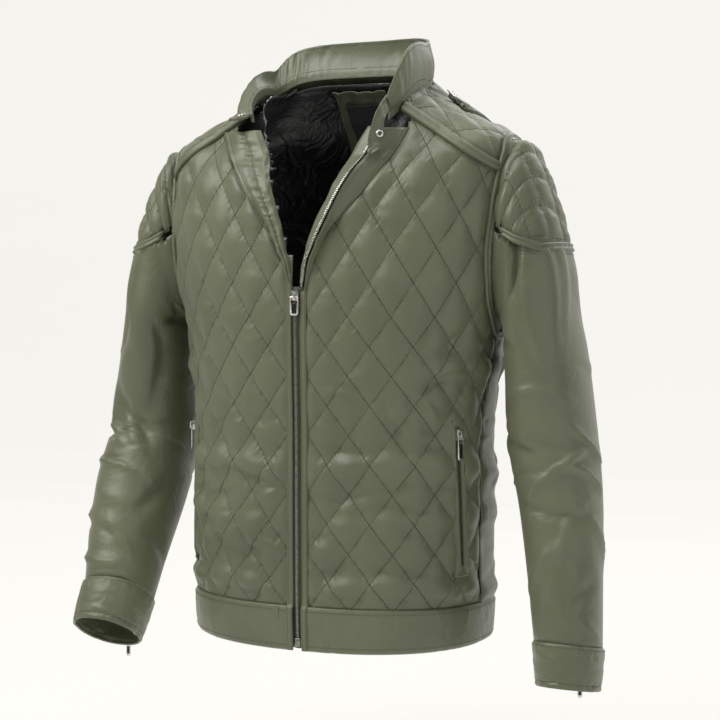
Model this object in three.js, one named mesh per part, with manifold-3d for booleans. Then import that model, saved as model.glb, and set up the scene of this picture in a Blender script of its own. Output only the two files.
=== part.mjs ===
// A quilted jacket, worn open at the neck, in millimetres with +Z up.
// The front faces -Y, the wearer's left is +X, and the origin is the neck centre at shoulder-neck height.
import * as THREE from 'three';
import { mergeVertices } from 'three/addons/utils/BufferGeometryUtils.js';
import Module from 'manifold-3d';

const wasm = await Module();
wasm.setup();

// Driving sizes
const gap = 0.3;                // clearance between two sewn pieces
const wallDepth = 2.4;          // cloth behind the stitched lines
const quiltWidth = 50;          // a diamond, side to side
const quiltHeight = 67.6;       // a diamond, tip to tip
const chestStretch = 1.16;      // diamonds are longer above the chest line
const chestLine = -270;
const puff = 4.6;               // filling above the stitched lines
const placketEdge = 12;         // from centre front to the quilted front
const tapeEdge = 4.6;           // from centre front to the placket
const bandTop = -604;
const hemBottom = -652;
const slashRise = 0.081;        // lean of the armhole plane
const armholeAt = 214;          // armhole plane from the centre, at shoulder tip height
const tipHeight = -58;
const weltWide = 8;

const colours = {
  cloth: 0x6f7656, lining: 0x0e0f11, metal: 0xb9bcc0, dark: 0x17181a, label: 0x101114,
};
const cloth = (tone = 0, roughness = 0.45) => new THREE.MeshStandardMaterial({
  color: new THREE.Color(colours.cloth).offsetHSL(0, 0, tone), roughness, metalness: 0,
});
const shiny = color => new THREE.MeshStandardMaterial({ color, roughness: 0.3, metalness: 0 });
const metal = color => new THREE.MeshStandardMaterial({ color, roughness: 0.25, metalness: 1 });

const jacket = new THREE.Group();
const point = (x, y, z) => new THREE.Vector3(x, y, z);
const clamp = (value, low, high) => Math.min(high, Math.max(low, value));

function add(name, geometry, material) {
  const mesh = new THREE.Mesh(geometry, material);
  mesh.name = name;
  jacket.add(mesh);
  return mesh;
}

// A smooth function through a table's rows that never overshoots them.
function smooth(places, values) {
  const last = places.length - 1;
  const slope = i => (values[i + 1] - values[i]) / (places[i + 1] - places[i]);
  const tangents = places.map((_, i) => {
    if (i === 0 || i === last) {
      return slope(i === 0 ? 0 : last - 1);
    }
    const before = slope(i - 1);
    const after = slope(i);
    return before * after <= 0 ? 0 : 2 * before * after / (before + after);
  });
  return place => {
    let i = 0;
    while (i < last - 1 && place > places[i + 1]) {
      i += 1;
    }
    const step = places[i + 1] - places[i];
    const t = clamp((place - places[i]) / step, 0, 1);
    const rise = t * t * (3 - 2 * t);
    return values[i] * (1 - rise) + values[i + 1] * rise
      + step * (tangents[i] * t * (1 - t) * (1 - t) - tangents[i + 1] * t * t * (1 - t));
  };
}

function tableOf(rows, columns, places) {
  const curves = columns.map((_, k) => smooth(places, rows.map(row => row[k])));
  return place => Object.fromEntries(columns.map((name, k) => [name, curves[k](place)]));
}

const solveFor = (low, high, isPast) => {
  for (let step = 0; step < 40; step += 1) {
    const middle = (low + high) / 2;
    if (isPast(middle)) {
      high = middle;
    } else {
      low = middle;
    }
  }
  return (low + high) / 2;
};

// Rings of the body from the hem up. A ring is lower in front than at the side, and squarer at the neck.
const bodyColumns = ['side', 'front', 'back', 'half', 'frontDeep', 'backDeep', 'square'];
const bodyRows = [
  [-660, -664, -656, 177, 130, 111, 2.35],
  [-640, -644, -637, 180, 132, 113, 2.35],
  [-602, -606, -600, 182, 134, 116, 2.35],
  [-490, -491, -489, 182, 136, 118, 2.35],
  [-406, -406, -406, 181, 137, 120, 2.35],
  [-330, -331, -329, 189, 140, 124, 2.35],
  [-273, -276, -271, 198, 142, 128, 2.35],
  [-230, -236, -226, 208, 141, 130, 2.35],
  [-180, -190, -172, 216, 138, 130, 2.35],
  [-112, -130, -100, 217, 127, 124, 2.4],
  [-78, -104, -62, 216, 116, 114, 2.4],
  [-60, -96, -40, 209, 109, 104, 2.4],
  [-36, -86, -12, 165, 101, 84, 2.8],
  [-12, -72, 12, 125, 97, 62, 3.5],
  [3, -58, 28, 102, 94, 42, 4.5],
  [60, 20, 80, 97, 88, 40, 4.5],
  [120, 90, 130, 97, 88, 40, 4.5],
];
const neckRow = 14;
const ringDip = 2.2;            // how the ring falls from the side to the front

const bodyPlaces = bodyRows.reduce((places, row, i) => {
  const step = i === 0 ? 0 : Math.hypot(row[0] - bodyRows[i - 1][0], row[3] - bodyRows[i - 1][3]);
  return [...places, (places.at(-1) ?? 0) + step];
}, []);
const ringAt = tableOf(bodyRows, bodyColumns, bodyPlaces);
const topPlace = bodyPlaces.at(-1);
const neckPlace = bodyPlaces[neckRow];

function onBody(place, turn) {
  const ring = ringAt(place);
  const ahead = Math.sin(turn) < 0;
  const deep = ahead ? ring.frontDeep : ring.backDeep;
  const share = Math.abs(Math.sin(turn)) ** (2 / ring.square);
  const x = Math.sign(Math.cos(turn)) * ring.half * Math.abs(Math.cos(turn)) ** (2 / ring.square);
  const z = ring.side + ((ahead ? ring.front : ring.back) - ring.side) * share ** ringDip;
  return point(x, (ahead ? -1 : 1) * deep * share, z);
}

// The level cut of the body at height z, from one turn to another.
function levelCut(z, from, to, steps) {
  return Array.from({ length: steps + 1 }, (_, i) => {
    const turn = from + (to - from) * i / steps;
    return onBody(solveFor(0, topPlace, place => onBody(place, turn).z > z), turn);
  });
}

// The body's reach sideways at a place of the side view.
function sideReach(y, z) {
  const place = solveFor(0, topPlace, p => {
    const ring = ringAt(p);
    const share = clamp(Math.abs(y) / (y < 0 ? ring.frontDeep : ring.backDeep), 0, 1);
    return ring.side + ((y < 0 ? ring.front : ring.back) - ring.side) * share ** ringDip > z;
  });
  const ring = ringAt(place);
  const share = clamp(Math.abs(y) / (y < 0 ? ring.frontDeep : ring.backDeep), 0, 1);
  return ring.half * (1 - share ** ring.square) ** (1 / ring.square);
}

// The body's front or back at a place of the front view: side is -1 for the front, 1 for the back.
function facePoint(x, z, side) {
  const shareAt = ring => (1 - clamp(Math.abs(x) / ring.half, 0, 1) ** ring.square) ** (1 / ring.square);
  const place = solveFor(0, topPlace, p => {
    const ring = ringAt(p);
    return ring.side + ((side < 0 ? ring.front : ring.back) - ring.side) * shareAt(ring) ** ringDip > z;
  });
  const ring = ringAt(place);
  return point(x, side * shareAt(ring) * (side < 0 ? ring.frontDeep : ring.backDeep), z);
}

function measured(line) {
  const lengths = [0];
  line.slice(1).forEach((p, i) => lengths.push(lengths[i] + p.distanceTo(line[i])));
  return lengths;
}

function alongLine(line, lengths, want) {
  let i = 0;
  while (i < line.length - 2 && want > lengths[i + 1]) {
    i += 1;
  }
  return line[i].clone().lerp(line[i + 1], (want - lengths[i]) / (lengths[i + 1] - lengths[i]));
}

function gridNormals(grid, tube = false) {
  const rows = grid.length;
  const columns = grid[0].length;
  return grid.map((row, i) => row.map((_, j) => {
    const left = tube ? (j + columns - 1) % columns : Math.max(j - 1, 0);
    const right = tube ? (j + 1) % columns : Math.min(j + 1, columns - 1);
    const across = row[right].clone().sub(row[left]);
    const up = grid[Math.min(i + 1, rows - 1)][j].clone().sub(grid[Math.max(i - 1, 0)][j]);
    return across.cross(up).normalize();
  }));
}

const moved = (grid, normals, amount) => grid.map((row, i) => row.map((p, j) =>
  p.clone().addScaledVector(normals[i][j], typeof amount === 'number' ? amount : amount(i, j, p))));

// Every nth row and column of a grid, always with the last ones.
function thinned(grid, everyRow, everyColumn, tube = false) {
  const keep = (list, every, loop) => list.filter((_, i) =>
    i % every === 0 || (!loop && i === list.length - 1));
  return keep(grid, everyRow, false).map(row => keep(row, everyColumn, tube));
}

// A closed wall between an outer and an inner grid, with its rims joined all round.
function wall(outer, inner, { tube = false, slant = () => false } = {}) {
  const positions = [];
  const faces = [];
  const put = grid => grid.map(row => {
    const indices = row.map(p => positions.push(p.x, p.y, p.z) / 3 - 1);
    return tube ? [...indices, indices[0]] : indices;
  });
  const skin = (grid, turned, isSlanted) => {
    for (let i = 0; i < grid.length - 1; i += 1) {
      for (let j = 0; j < grid[0].length - 1; j += 1) {
        const [a, b, c, d] = [grid[i][j], grid[i][j + 1], grid[i + 1][j + 1], grid[i + 1][j]];
        const pair = isSlanted(i, j) ? [[a, b, d], [b, c, d]] : [[a, b, c], [a, c, d]];
        faces.push(...pair.map(([p, q, r]) => (turned ? [p, r, q] : [p, q, r])));
      }
    }
  };
  const join = (p, q) => {
    let i = 0;
    let j = 0;
    while (i < p.length - 1 || j < q.length - 1) {
      const stepOuter = j >= q.length - 1
        || (i < p.length - 1 && (i + 1) / (p.length - 1) <= (j + 1) / (q.length - 1));
      if (stepOuter) {
        faces.push([p[i], q[j], p[i + 1]]);
        i += 1;
      } else {
        faces.push([p[i], q[j], q[j + 1]]);
        j += 1;
      }
    }
  };
  const out = put(outer);
  const back = put(inner);
  skin(out, false, slant);
  skin(back, true, () => false);
  join(out[0], back[0]);
  join([...out.at(-1)].reverse(), [...back.at(-1)].reverse());
  if (!tube) {
    join(out.map(row => row.at(-1)), back.map(row => row.at(-1)));
    join(out.map(row => row[0]).reverse(), back.map(row => row[0]).reverse());
  }
  const geometry = new THREE.BufferGeometry();
  geometry.setAttribute('position', new THREE.Float32BufferAttribute(positions, 3));
  geometry.setIndex(faces.flat());
  return geometry;
}

// Joins and cuts
function solidOf(geometry) {
  const plain = geometry.clone();
  plain.deleteAttribute('normal');
  plain.deleteAttribute('uv');
  const merged = mergeVertices(plain, 1e-4);
  return new wasm.Manifold(new wasm.Mesh({
    numProp: 3,
    vertProperties: new Float32Array(merged.attributes.position.array),
    triVerts: new Uint32Array(merged.index.array),
  }));
}

function geometryOf(solid) {
  const mesh = solid.getMesh();
  const geometry = new THREE.BufferGeometry();
  geometry.setAttribute('position', new THREE.BufferAttribute(new Float32Array(mesh.vertProperties), 3));
  geometry.setIndex(new THREE.BufferAttribute(new Uint32Array(mesh.triVerts), 1));
  return geometry;
}

// The largest body of a cut, without slivers that a cut leaves at a corner.
function mainBody(solid) {
  const bodies = solid.decompose();
  return bodies.sort((a, b) => b.volume() - a.volume())[0];
}

// Straight cutters seen from the front (x, z) and from the side (y, z).
function cutter(outline, low, high, view) {
  const shape = new THREE.Shape(outline.map(([a, b]) => new THREE.Vector2(a, b)));
  const solid = new THREE.ExtrudeGeometry(shape, { depth: high - low, bevelEnabled: false, steps: 1 });
  const place = view === 'front'
    ? new THREE.Matrix4().set(1, 0, 0, 0, 0, 0, -1, high, 0, 1, 0, 0, 0, 0, 0, 1)
    : new THREE.Matrix4().set(0, 0, 1, low, 1, 0, 0, 0, 0, 1, 0, 0, 0, 0, 0, 1);
  return solidOf(solid.applyMatrix4(place));
}

function mirrored(geometry) {
  const copy = geometry.clone().applyMatrix4(new THREE.Matrix4().makeScale(-1, 1, 1));
  const index = copy.index.array;
  for (let i = 0; i < index.length; i += 3) {
    [index[i], index[i + 1]] = [index[i + 1], index[i]];
  }
  return copy;
}

// Edges of the pieces, as seen from the front and from the side
const armholeX = z => armholeAt + slashRise * (z - tipHeight);
const yokeFront = x => -33 - 0.64 * (x - 107);
const yokeBack = x => 28 - 1.12 * (x - 98);
const farSide = 400;
const farDeep = 300;

const armholeCentre = -166;
const armholeSteps = 32;
const armhole = Array.from({ length: armholeSteps }, (_, i) => {
  const turn = 2 * Math.PI * i / armholeSteps;
  const reach = solveFor(5, 160, r => {
    const y = -r * Math.sin(turn);
    const z = armholeCentre + r * Math.cos(turn);
    return sideReach(y, z) < armholeX(z);
  });
  return { y: -reach * Math.sin(turn), z: armholeCentre + reach * Math.cos(turn), reach, turn };
});
const armholeOutline = grow => armhole.map(({ reach, turn }) =>
  [-(reach + grow) * Math.sin(turn), armholeCentre + (reach + grow) * Math.cos(turn)]);
const armholeZone = grow => cutter(armholeOutline(grow), 100, farSide, 'side');
const besideArmhole = solid => mainBody(solid.subtract(armholeZone(weltWide + gap)));

// The neck line in the side view, and the open front edge in the front view
const neckLine = Array.from({ length: 25 }, (_, i) => {
  const p = onBody(neckPlace, -Math.PI / 2 + Math.PI * i / 24);
  return [p.y, p.z];
});
const underNeck = cutter([
  [-farDeep, -700], [farDeep, -700], [farDeep, 28], ...[...neckLine].reverse(), [-farDeep, -58],
], -farSide, farSide, 'side');
const openingColumns = ['height', 'quiltEdge', 'rollEdge', 'flapEdge', 'crestEdge'];
const openingRows = [
  [-240, 12, 4.8, 7, 9],
  [-208, 13, 9, 16, 16],
  [-195, 19, 13, 23, 22],
  [-168, 38, 21, 38, 34],
  [-126, 74, 38, 70, 52],
  [-76, 104, 57, 110, 77],
  [-52, 112, 70, 124, 90],
];
const openingAt = tableOf(openingRows, openingColumns, openingRows.map(row => row[0]));

// Side strip between the front and the back, seen from the side
const sideStrip = grow => [
  [-24 - grow, -700], [-22 - grow, -420], [-8 - grow, -285], [-6 - grow, -240],
  [14 + grow, -240], [18 + grow, -285], [44 + grow, -420], [46 + grow, -700],
];
const sideCut = grow => cutter(sideStrip(grow), 100, farSide, 'side');

// Larger folds of the body: height, half height, rise, and where round the front they fade
const foldColumns = ['height', 'reach', 'rise', 'from', 'to'];
const foldRows = [
  [-447, 22, 5.5, 0, 240], [-505, 20, 4.5, 20, 260], [-535, 18, 4, 0, 150], [-585, 15, 5, 10, 260],
  [-320, 18, 3.5, 110, 260], [-390, 20, 3, 60, 200],
];
const folds = foldRows.map(row => Object.fromEntries(foldColumns.map((name, k) => [name, row[k]])));
function foldRise(around, z) {
  return folds.reduce((sum, { height, reach, rise, from, to }) => {
    const bow = height + 8 * Math.sin(around / 45 + height);
    const across = Math.max(0, 1 - ((z - bow) / reach) ** 2);
    const along = clamp((around - from) / 30, 0, 1) * clamp((to - around) / 30, 0, 1);
    return sum + rise * across * across * along;
  }, 0);
}

// The pattern of stitched diamonds: columns and rows are counted in quarters or halves of a diamond.
const ridge = share => Math.abs(Math.sin(Math.PI * share)) ** 0.7;
const diamond = (i, j, parts = 4) => puff * ridge((i + j) / parts) * ridge((i - j) / parts);
const stitchSlant = (i, j) => (i + j + 1) % 4 === 0;
const quiltHeights = (low, high, parts) => {
  const heights = [];
  let height = chestLine - quiltHeight * 5;
  while (height < high) {
    if (height > low) {
      heights.push(height);
    }
    height += quiltHeight / parts * (height < chestLine - 1 ? 1 : chestStretch);
  }
  return heights;
};

// A quilted sheet on the front or the back, from its middle line round to past the side.
function quiltedSheet({ start, columns, firstColumn, side, high, parts }) {
  const cell = quiltWidth / parts;
  const rows = quiltHeights(bandTop - quiltHeight / parts, high, parts).map(z => {
    const line = side < 0 ? levelCut(z, -Math.PI / 2, 0.6, 72) : levelCut(z, Math.PI / 2, -0.6, 72);
    const lengths = measured(line);
    return Array.from({ length: columns }, (_, i) => {
      const want = start + (i + firstColumn) * cell;
      const p = alongLine(line, lengths, Math.abs(want));
      return want < 0 ? point(-p.x, p.y, p.z) : p;
    });
  });
  const grid = side < 0 ? rows : rows.map(row => [...row].reverse());
  const normals = gridNormals(grid);
  const column = j => (side < 0 ? j + firstColumn : firstColumn + columns - 1 - j);
  const outer = moved(grid, normals, (i, j, p) => diamond(column(j), i, parts)
    + foldRise(Math.abs(start + column(j) * cell), p.z));
  const inner = thinned(moved(grid, normals, -wallDepth), 1, parts / 2).filter((row, i) =>
    i === grid.length - 1 || i % (row[0].z < chestLine + quiltHeight ? parts : parts / 2) === 0);
  return wall(outer, inner, {
    slant: (i, j) => (side < 0 ? (column(j) + i + 1) % parts === 0 : (column(j) - 1 - i) % parts === 0),
  });
}

// The plain body, for what isn't quilted: a sheet of the body's points, moved out and in.
function plainSheet({ heights, from, to, columns, out, back, tube = false }) {
  const grid = heights.map(z => Array.from({ length: columns }, (_, j) => {
    const turn = from + (to - from) * j / (tube ? columns : columns - 1);
    return onBody(solveFor(0, topPlace, place => onBody(place, turn).z > z), turn);
  }));
  const normals = gridNormals(grid, tube);
  return wall(moved(grid, normals, out), moved(grid, normals, -back), { tube });
}
const steps = (low, high, count) =>
  Array.from({ length: count + 1 }, (_, i) => low + (high - low) * i / count);
const placesSheet = ({ places, from, to, columns, out, back }) => {
  const grid = places.map(place => steps(from, to, columns).map(turn => onBody(place, turn)));
  const normals = gridNormals(grid);
  return wall(moved(grid, normals, out), moved(grid, normals, -back));
};

// Fronts, with a slot for the zipped pocket
const seamHalf = 5;
const openHeights = [-230, -208, -186, -165, -145, -126, -108, -90, -72, -54];
const quiltOutline = grow => openHeights.map(z => [openingAt(z).quiltEdge + grow, z]);
const pocketTop = -394;
const pocketFoot = -562;
const pocketSlot = grow => [
  [-72 - grow, pocketTop + grow], [-60 + grow, pocketTop + grow],
  [-52 + grow, pocketFoot - grow], [-64 - grow, pocketFoot - grow],
];
const pocketCut = grow => cutter(pocketSlot(grow), 100, farSide, 'side');
const frontOutline = [
  [placketEdge, bandTop + gap / 2], [placketEdge, -242], ...quiltOutline(0),
  [113, yokeFront(113) - seamHalf - gap], [farSide, yokeFront(farSide) - seamHalf - gap],
  [farSide, bandTop + gap / 2],
];
const frontSheet = solidOf(quiltedSheet({
  start: placketEdge, columns: 21, firstColumn: -1, side: -1, high: 0, parts: 4,
}));
const frontSolid = besideArmhole(frontSheet.intersect(cutter(frontOutline, -farDeep, 0, 'front'))
  .subtract(sideCut(gap)).intersect(underNeck).subtract(pocketCut(gap)));
const frontLeft = geometryOf(frontSolid);
add('front_left', frontLeft, cloth(0));
add('front_right', mirrored(frontLeft), cloth(0));

// Back
const backOutline = [
  [-farSide, bandTop + gap / 2], [farSide, bandTop + gap / 2], [farSide, yokeBack(farSide) - seamHalf - gap],
  [0, yokeBack(0) - seamHalf - gap], [-farSide, yokeBack(farSide) - seamHalf - gap],
];
const backSheet = solidOf(quiltedSheet({
  start: 0, columns: 21, firstColumn: -10, side: 1, high: 60, parts: 2,
}));
const flipped = solid => solidOf(mirrored(geometryOf(solid)));
const bothSides = solid => solid.add(flipped(solid));
const backSolid = mainBody(backSheet.intersect(cutter(backOutline, 0, farDeep, 'front'))
  .subtract(bothSides(sideCut(gap))).subtract(bothSides(armholeZone(weltWide + gap))).intersect(underNeck));
add('back', geometryOf(backSolid), cloth(0));

// Plain side panels
const sideSheet = solidOf(plainSheet({
  heights: steps(bandTop - 10, -232, 7), from: -0.28, to: 0.56, columns: 6, out: 0.4, back: wallDepth,
}));
const sideSolid = besideArmhole(sideSheet.intersect(cutter(sideStrip(0), 100, farSide, 'side'))
  .intersect(cutter([[100, bandTop + gap / 2], [farSide, bandTop + gap / 2], [farSide, 0], [100, 0]],
    -farDeep, farDeep, 'front')));
const sidePanel = geometryOf(sideSolid);
add('side_panel_left', sidePanel, cloth(-0.02));
add('side_panel_right', mirrored(sidePanel), cloth(-0.02));

// Shoulder yokes, quilted softly along lines of equal reach
function sectionAcross(x) {
  const low = bodyPlaces[8];
  const crest = solveFor(bodyPlaces[9], topPlace, place => ringAt(place).half < x);
  const down = steps(crest, low, 40).map(place => {
    const ring = ringAt(place);
    const share = (1 - clamp(x / ring.half, 0, 1) ** ring.square) ** (1 / ring.square);
    return side => point(x, side * share * (side < 0 ? ring.frontDeep : ring.backDeep),
      ring.side + ((side < 0 ? ring.front : ring.back) - ring.side) * share ** ringDip);
  });
  const front = down.map(at => at(-1));
  const rear = down.map(at => at(1));
  return { front, frontLengths: measured(front), rear, rearLengths: measured(rear) };
}
const yokeStep = 13;
const yokeRows = steps(215, 98.5, 9);
const yokeColumns = 18;
const yokeGrid = yokeRows.map(x => {
  const section = sectionAcross(x);
  return Array.from({ length: yokeColumns + 1 }, (_, j) => {
    const want = (j - yokeColumns / 2) * yokeStep;
    return want < 0 ? alongLine(section.front, section.frontLengths, -want)
      : alongLine(section.rear, section.rearLengths, want);
  });
});
const yokeNormals = gridNormals(yokeGrid);
const yokeShell = solidOf(wall(
  moved(yokeGrid, yokeNormals, (i, j) => 0.6 * diamond(j, i)),
  thinned(moved(yokeGrid, yokeNormals, -wallDepth), 1, 3),
  { slant: stitchSlant },
));
const yokeZone = (grow, low, high, line) => cutter([
  [0, line(0) + grow], [farSide, line(farSide) + grow], [farSide, 200], [0, 200],
], low, high, 'front');
const insideArmhole = cutter([
  [0, -700], [armholeX(-700) - gap / 2, -700], [armholeX(200) - gap / 2, 200], [0, 200],
], -farDeep, farDeep, 'front');
const aboveFrontSeam = yokeZone(seamHalf + gap, -farDeep, 0, yokeFront);
const aboveBackSeam = yokeZone(seamHalf + gap, 0, farDeep, yokeBack);
const backSeamZone = yokeZone(-seamHalf - gap, gap, farDeep, yokeBack).subtract(aboveBackSeam);
const yokeSolid = mainBody(yokeShell.intersect(aboveFrontSeam.add(aboveBackSeam)).subtract(backSeamZone)
  .subtract(armholeZone(weltWide + gap)).intersect(underNeck));
const yoke = geometryOf(yokeSolid);
add('yoke_left', yoke, cloth(0.02));
add('yoke_right', mirrored(yoke), cloth(0.02));

// Raised welts over the yoke seams and round the armholes
const weltRise = 5;
const shoulderSheet = solidOf(placesSheet({
  places: steps(bodyPlaces[6] - 20, bodyPlaces[14] + 12, 11), from: -1.35, to: 1.35, columns: 18,
  out: weltRise, back: wallDepth,
}));
const welt = (line, low, high) => yokeZone(-seamHalf, low, high, line)
  .subtract(yokeZone(seamHalf, low, high, line));
const yokeWelts = shoulderSheet.subtract(armholeZone(weltWide + gap)).intersect(underNeck);
const besideNeck = cutter([[98, -200], [farSide, -200], [farSide, 100], [98, 100]],
  -farDeep, farDeep, 'front');
const frontWelt = geometryOf(mainBody(yokeWelts.intersect(welt(yokeFront, -farDeep, -gap / 2))
  .intersect(besideNeck)));
const backWelt = geometryOf(mainBody(yokeWelts.intersect(welt(yokeBack, 12, farDeep))));
const armholeWelt = geometryOf(mainBody(shoulderSheet.intersect(armholeZone(weltWide))
  .intersect(insideArmhole)));
for (const [side, turn] of [['left', g => g], ['right', mirrored]]) {
  add(`yoke_welt_${side}`, turn(frontWelt), cloth(0.01));
  add(`back_yoke_welt_${side}`, turn(backWelt), cloth(0.01));
  add(`armhole_welt_${side}`, turn(armholeWelt), cloth(0.01));
}

// Zipped pockets in the side of each front: a welt behind, and the zip chain on it
const pocketSheet = solidOf(plainSheet({
  heights: steps(pocketFoot - 14, pocketTop + 14, 3),
  from: -0.6, to: -0.2, columns: 5, out: 3.2, back: wallDepth,
}));
const pocketWelt = geometryOf(mainBody(pocketSheet.intersect(pocketCut(0))));
add('pocket_welt_left', pocketWelt, cloth(-0.03));
add('pocket_welt_right', mirrored(pocketWelt), cloth(-0.03));

// Hem band
const bandShare = steps(0, 1, 3);
const bandStart = Math.acos((tapeEdge / 181) ** (2.35 / 2));
const bandTurns = steps(-bandStart, Math.PI + bandStart, 48);
const bandGrid = bandShare.map(share => bandTurns.map(turn => {
  const hem = onBody(bodyPlaces[0] + (hemBottom + 660), turn).z;
  const z = hem + (bandTop - gap / 2 - hem) * share;
  return onBody(solveFor(0, topPlace, place => onBody(place, turn).z > z), turn);
}));
const bandNormals = gridNormals(bandGrid);
const bandRise = [2.4, 5, 5, 2];
add('hem_band', wall(
  moved(bandGrid, bandNormals, (i, j) => bandRise[i] + 0.5 * Math.sin(j * 1.9) * (i % 3 ? 1 : 0)),
  thinned(moved(bandGrid, bandNormals, -wallDepth), 3, 2),
), cloth(-0.01));

// Sleeves: a ring has its outer and inner edge in the front view,
// and its middle and half depth in the side view.
const sleeveColumns = ['outerX', 'outerZ', 'innerX', 'innerZ', 'middle', 'deep', 'tilt'];
const sleeveHead = [
  [229, -68, 200, -269, 0, 62, 0],
  [246, -95, 203, -270.5, 0, 65, 0],
  [260, -134, 206, -273, 0, 69, 0],
  [273, -178, 208, -277, 0, 72, 0],
  [283, -222, 209, -284, 0, 74, 0],
  [288, -264, 210, -300, 0, 74, 0],
];
const sleeveRows = {
  left: [
    ...sleeveHead,
    [297, -306, 211, -322, 0, 73, 2],
    [303, -345, 212, -352, 1, 72, 4],
    [311, -405, 212, -410, 2, 70, 5],
    [317, -450, 220, -450, 0, 63, 8],
    [321, -490, 229, -490, -5, 58, 10],
    [326, -570, 244, -568, -20, 50, 11],
    [330, -643, 256, -640, -33, 45, 11],
  ],
  right: [
    ...sleeveHead,
    [296, -306, 211, -322, 2, 73, 0],
    [304, -345, 212, -352, 5, 73, 0],
    [312, -412, 213, -410, 6, 70, 8],
    [316, -456, 214, -448, -14, 68, 24],
    [314, -494, 213, -488, -40, 66, 30],
    [306, -556, 216, -552, -76, 57, 31],
    [293, -610, 214, -606, -110, 47, 31],
  ],
};
const cuffRows = {
  left: [
    [330, -643, 256, -640, -33, 45, 11],
    [330, -668, 261, -666, -39, 43.5, 11],
    [329, -691, 263, -689, -43, 42.5, 11],
  ],
  right: [
    [293, -610, 214, -606, -110, 47, 31],
    [293, -632, 215, -630, -124, 45.5, 31],
    [291, -655, 217, -653, -138, 44, 31],
  ],
};
const sleeveSquare = 2.2;
const radians = Math.PI / 180;

function sleeveRing(row, steps, grow) {
  const ring = Object.fromEntries(sleeveColumns.map((name, k) => [name, row[k]]));
  const centre = point((ring.outerX + ring.innerX) / 2, ring.middle, (ring.outerZ + ring.innerZ) / 2);
  const across = point((ring.outerX - ring.innerX) / 2, 0, (ring.outerZ - ring.innerZ) / 2);
  const along = point(0, -Math.cos(ring.tilt * radians), Math.sin(ring.tilt * radians));
  const wide = across.length() + grow;
  across.normalize();
  return Array.from({ length: steps }, (_, k) => {
    const turn = 2 * Math.PI * k / steps;
    const part = value => Math.sign(value) * Math.abs(value) ** (2 / sleeveSquare);
    return centre.clone().addScaledVector(across, wide * part(Math.cos(turn)))
      .addScaledVector(along, (ring.deep + grow) * part(Math.sin(turn)));
  });
}

// The first ring lies in the armhole plane, just outside the body's cut edge.
function armholeRing(grow) {
  return armhole.filter((_, k) => k % 2 === 0).map(({ reach, turn }) => {
    const y = -(reach + grow) * Math.sin(turn);
    const z = armholeCentre + (reach + grow) * Math.cos(turn);
    return point(armholeX(z) + gap / 2, y, z);
  });
}

const sleeveSteps = armholeSteps / 2;
const sleeveFoldColumns = ['place', 'reach', 'rise', 'turn', 'spread'];
const sleeveFolds = {
  left: [
    [7.2, 0.7, 4, 60, 90], [8.6, 0.5, 6, 130, 100], [9.6, 0.5, 6, 60, 90], [10.6, 0.5, 5, 150, 110],
    [11.4, 0.5, 5, 40, 90], [5.4, 0.6, 4, 80, 60], [8.8, 0.6, 5, 280, 90], [10.2, 0.6, 5, 250, 90],
  ],
  right: [
    [7.4, 0.6, 4, 60, 100], [8.8, 0.5, 7, 100, 110], [9.8, 0.45, 7, 70, 110], [10.7, 0.45, 6, 110, 110],
    [11.5, 0.4, 5, 60, 110], [5.6, 0.6, 4, 90, 70], [9.0, 0.6, 5, 280, 90], [10.4, 0.6, 5, 250, 90],
  ],
};
function sleeveFoldRise(side, place, turn) {
  return sleeveFolds[side].reduce((sum, row) => {
    const fold = Object.fromEntries(sleeveFoldColumns.map((name, k) => [name, row[k]]));
    const away = Math.abs(((turn - fold.turn + 540) % 360) - 180);
    const bow = fold.place + 0.25 * Math.sin(away / 40);
    const across = Math.max(0, 1 - ((place - bow) / fold.reach) ** 2);
    return sum + fold.rise * across * Math.max(0, 1 - (away / fold.spread) ** 2);
  }, 0);
}

// A sleeve's grid runs from the armhole down.
function sleeveGrid(rows, fromPlace, toPlace, perRow, grow, withArmhole) {
  const rings = rows.map(row => sleeveRing(row, sleeveSteps, grow));
  const all = withArmhole ? [armholeRing(grow), ...rings] : rings;
  const columns = Array.from({ length: sleeveSteps }, (_, k) => ['x', 'y', 'z'].map(axis =>
    smooth(all.map((_, i) => i), all.map(ring => ring[k][axis]))));
  const places = steps(fromPlace, toPlace, Math.round((toPlace - fromPlace) * perRow));
  const grid = places.map(place => columns.map(curves => point(...curves.map(curve => curve(place)))));
  return { places, grid };
}

const capLine = [[150, -163], [205, -163], [235, -181], [262, -191], [290, -186], [320, -180]];
const capZone = (low, high) => {
  const path = capLine.map(([x, z]) => [x, z + low]);
  const top = high > 50 ? [[320, 100], [150, 100]] : [...capLine].reverse().map(([x, z]) => [x, z + high]);
  return cutter([...path, ...top], -farDeep, farDeep, 'front');
};
const capWeltHalf = 3.5;
const capWeltRise = 3.6;
const sleeveWall = 1.6;
const elbow = -440;               // each sleeve is two solids that meet here
const aboveElbow = cutter([[0, elbow + gap / 2], [farSide, elbow + gap / 2], [farSide, 0], [0, 0]],
  -farDeep, farDeep, 'front');
const belowElbow = cutter([[0, -700], [farSide, -700], [farSide, elbow - gap / 2], [0, elbow - gap / 2]],
  -farDeep, farDeep, 'front');
const cuffDrop = point(0, 0, -gap);
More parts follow.
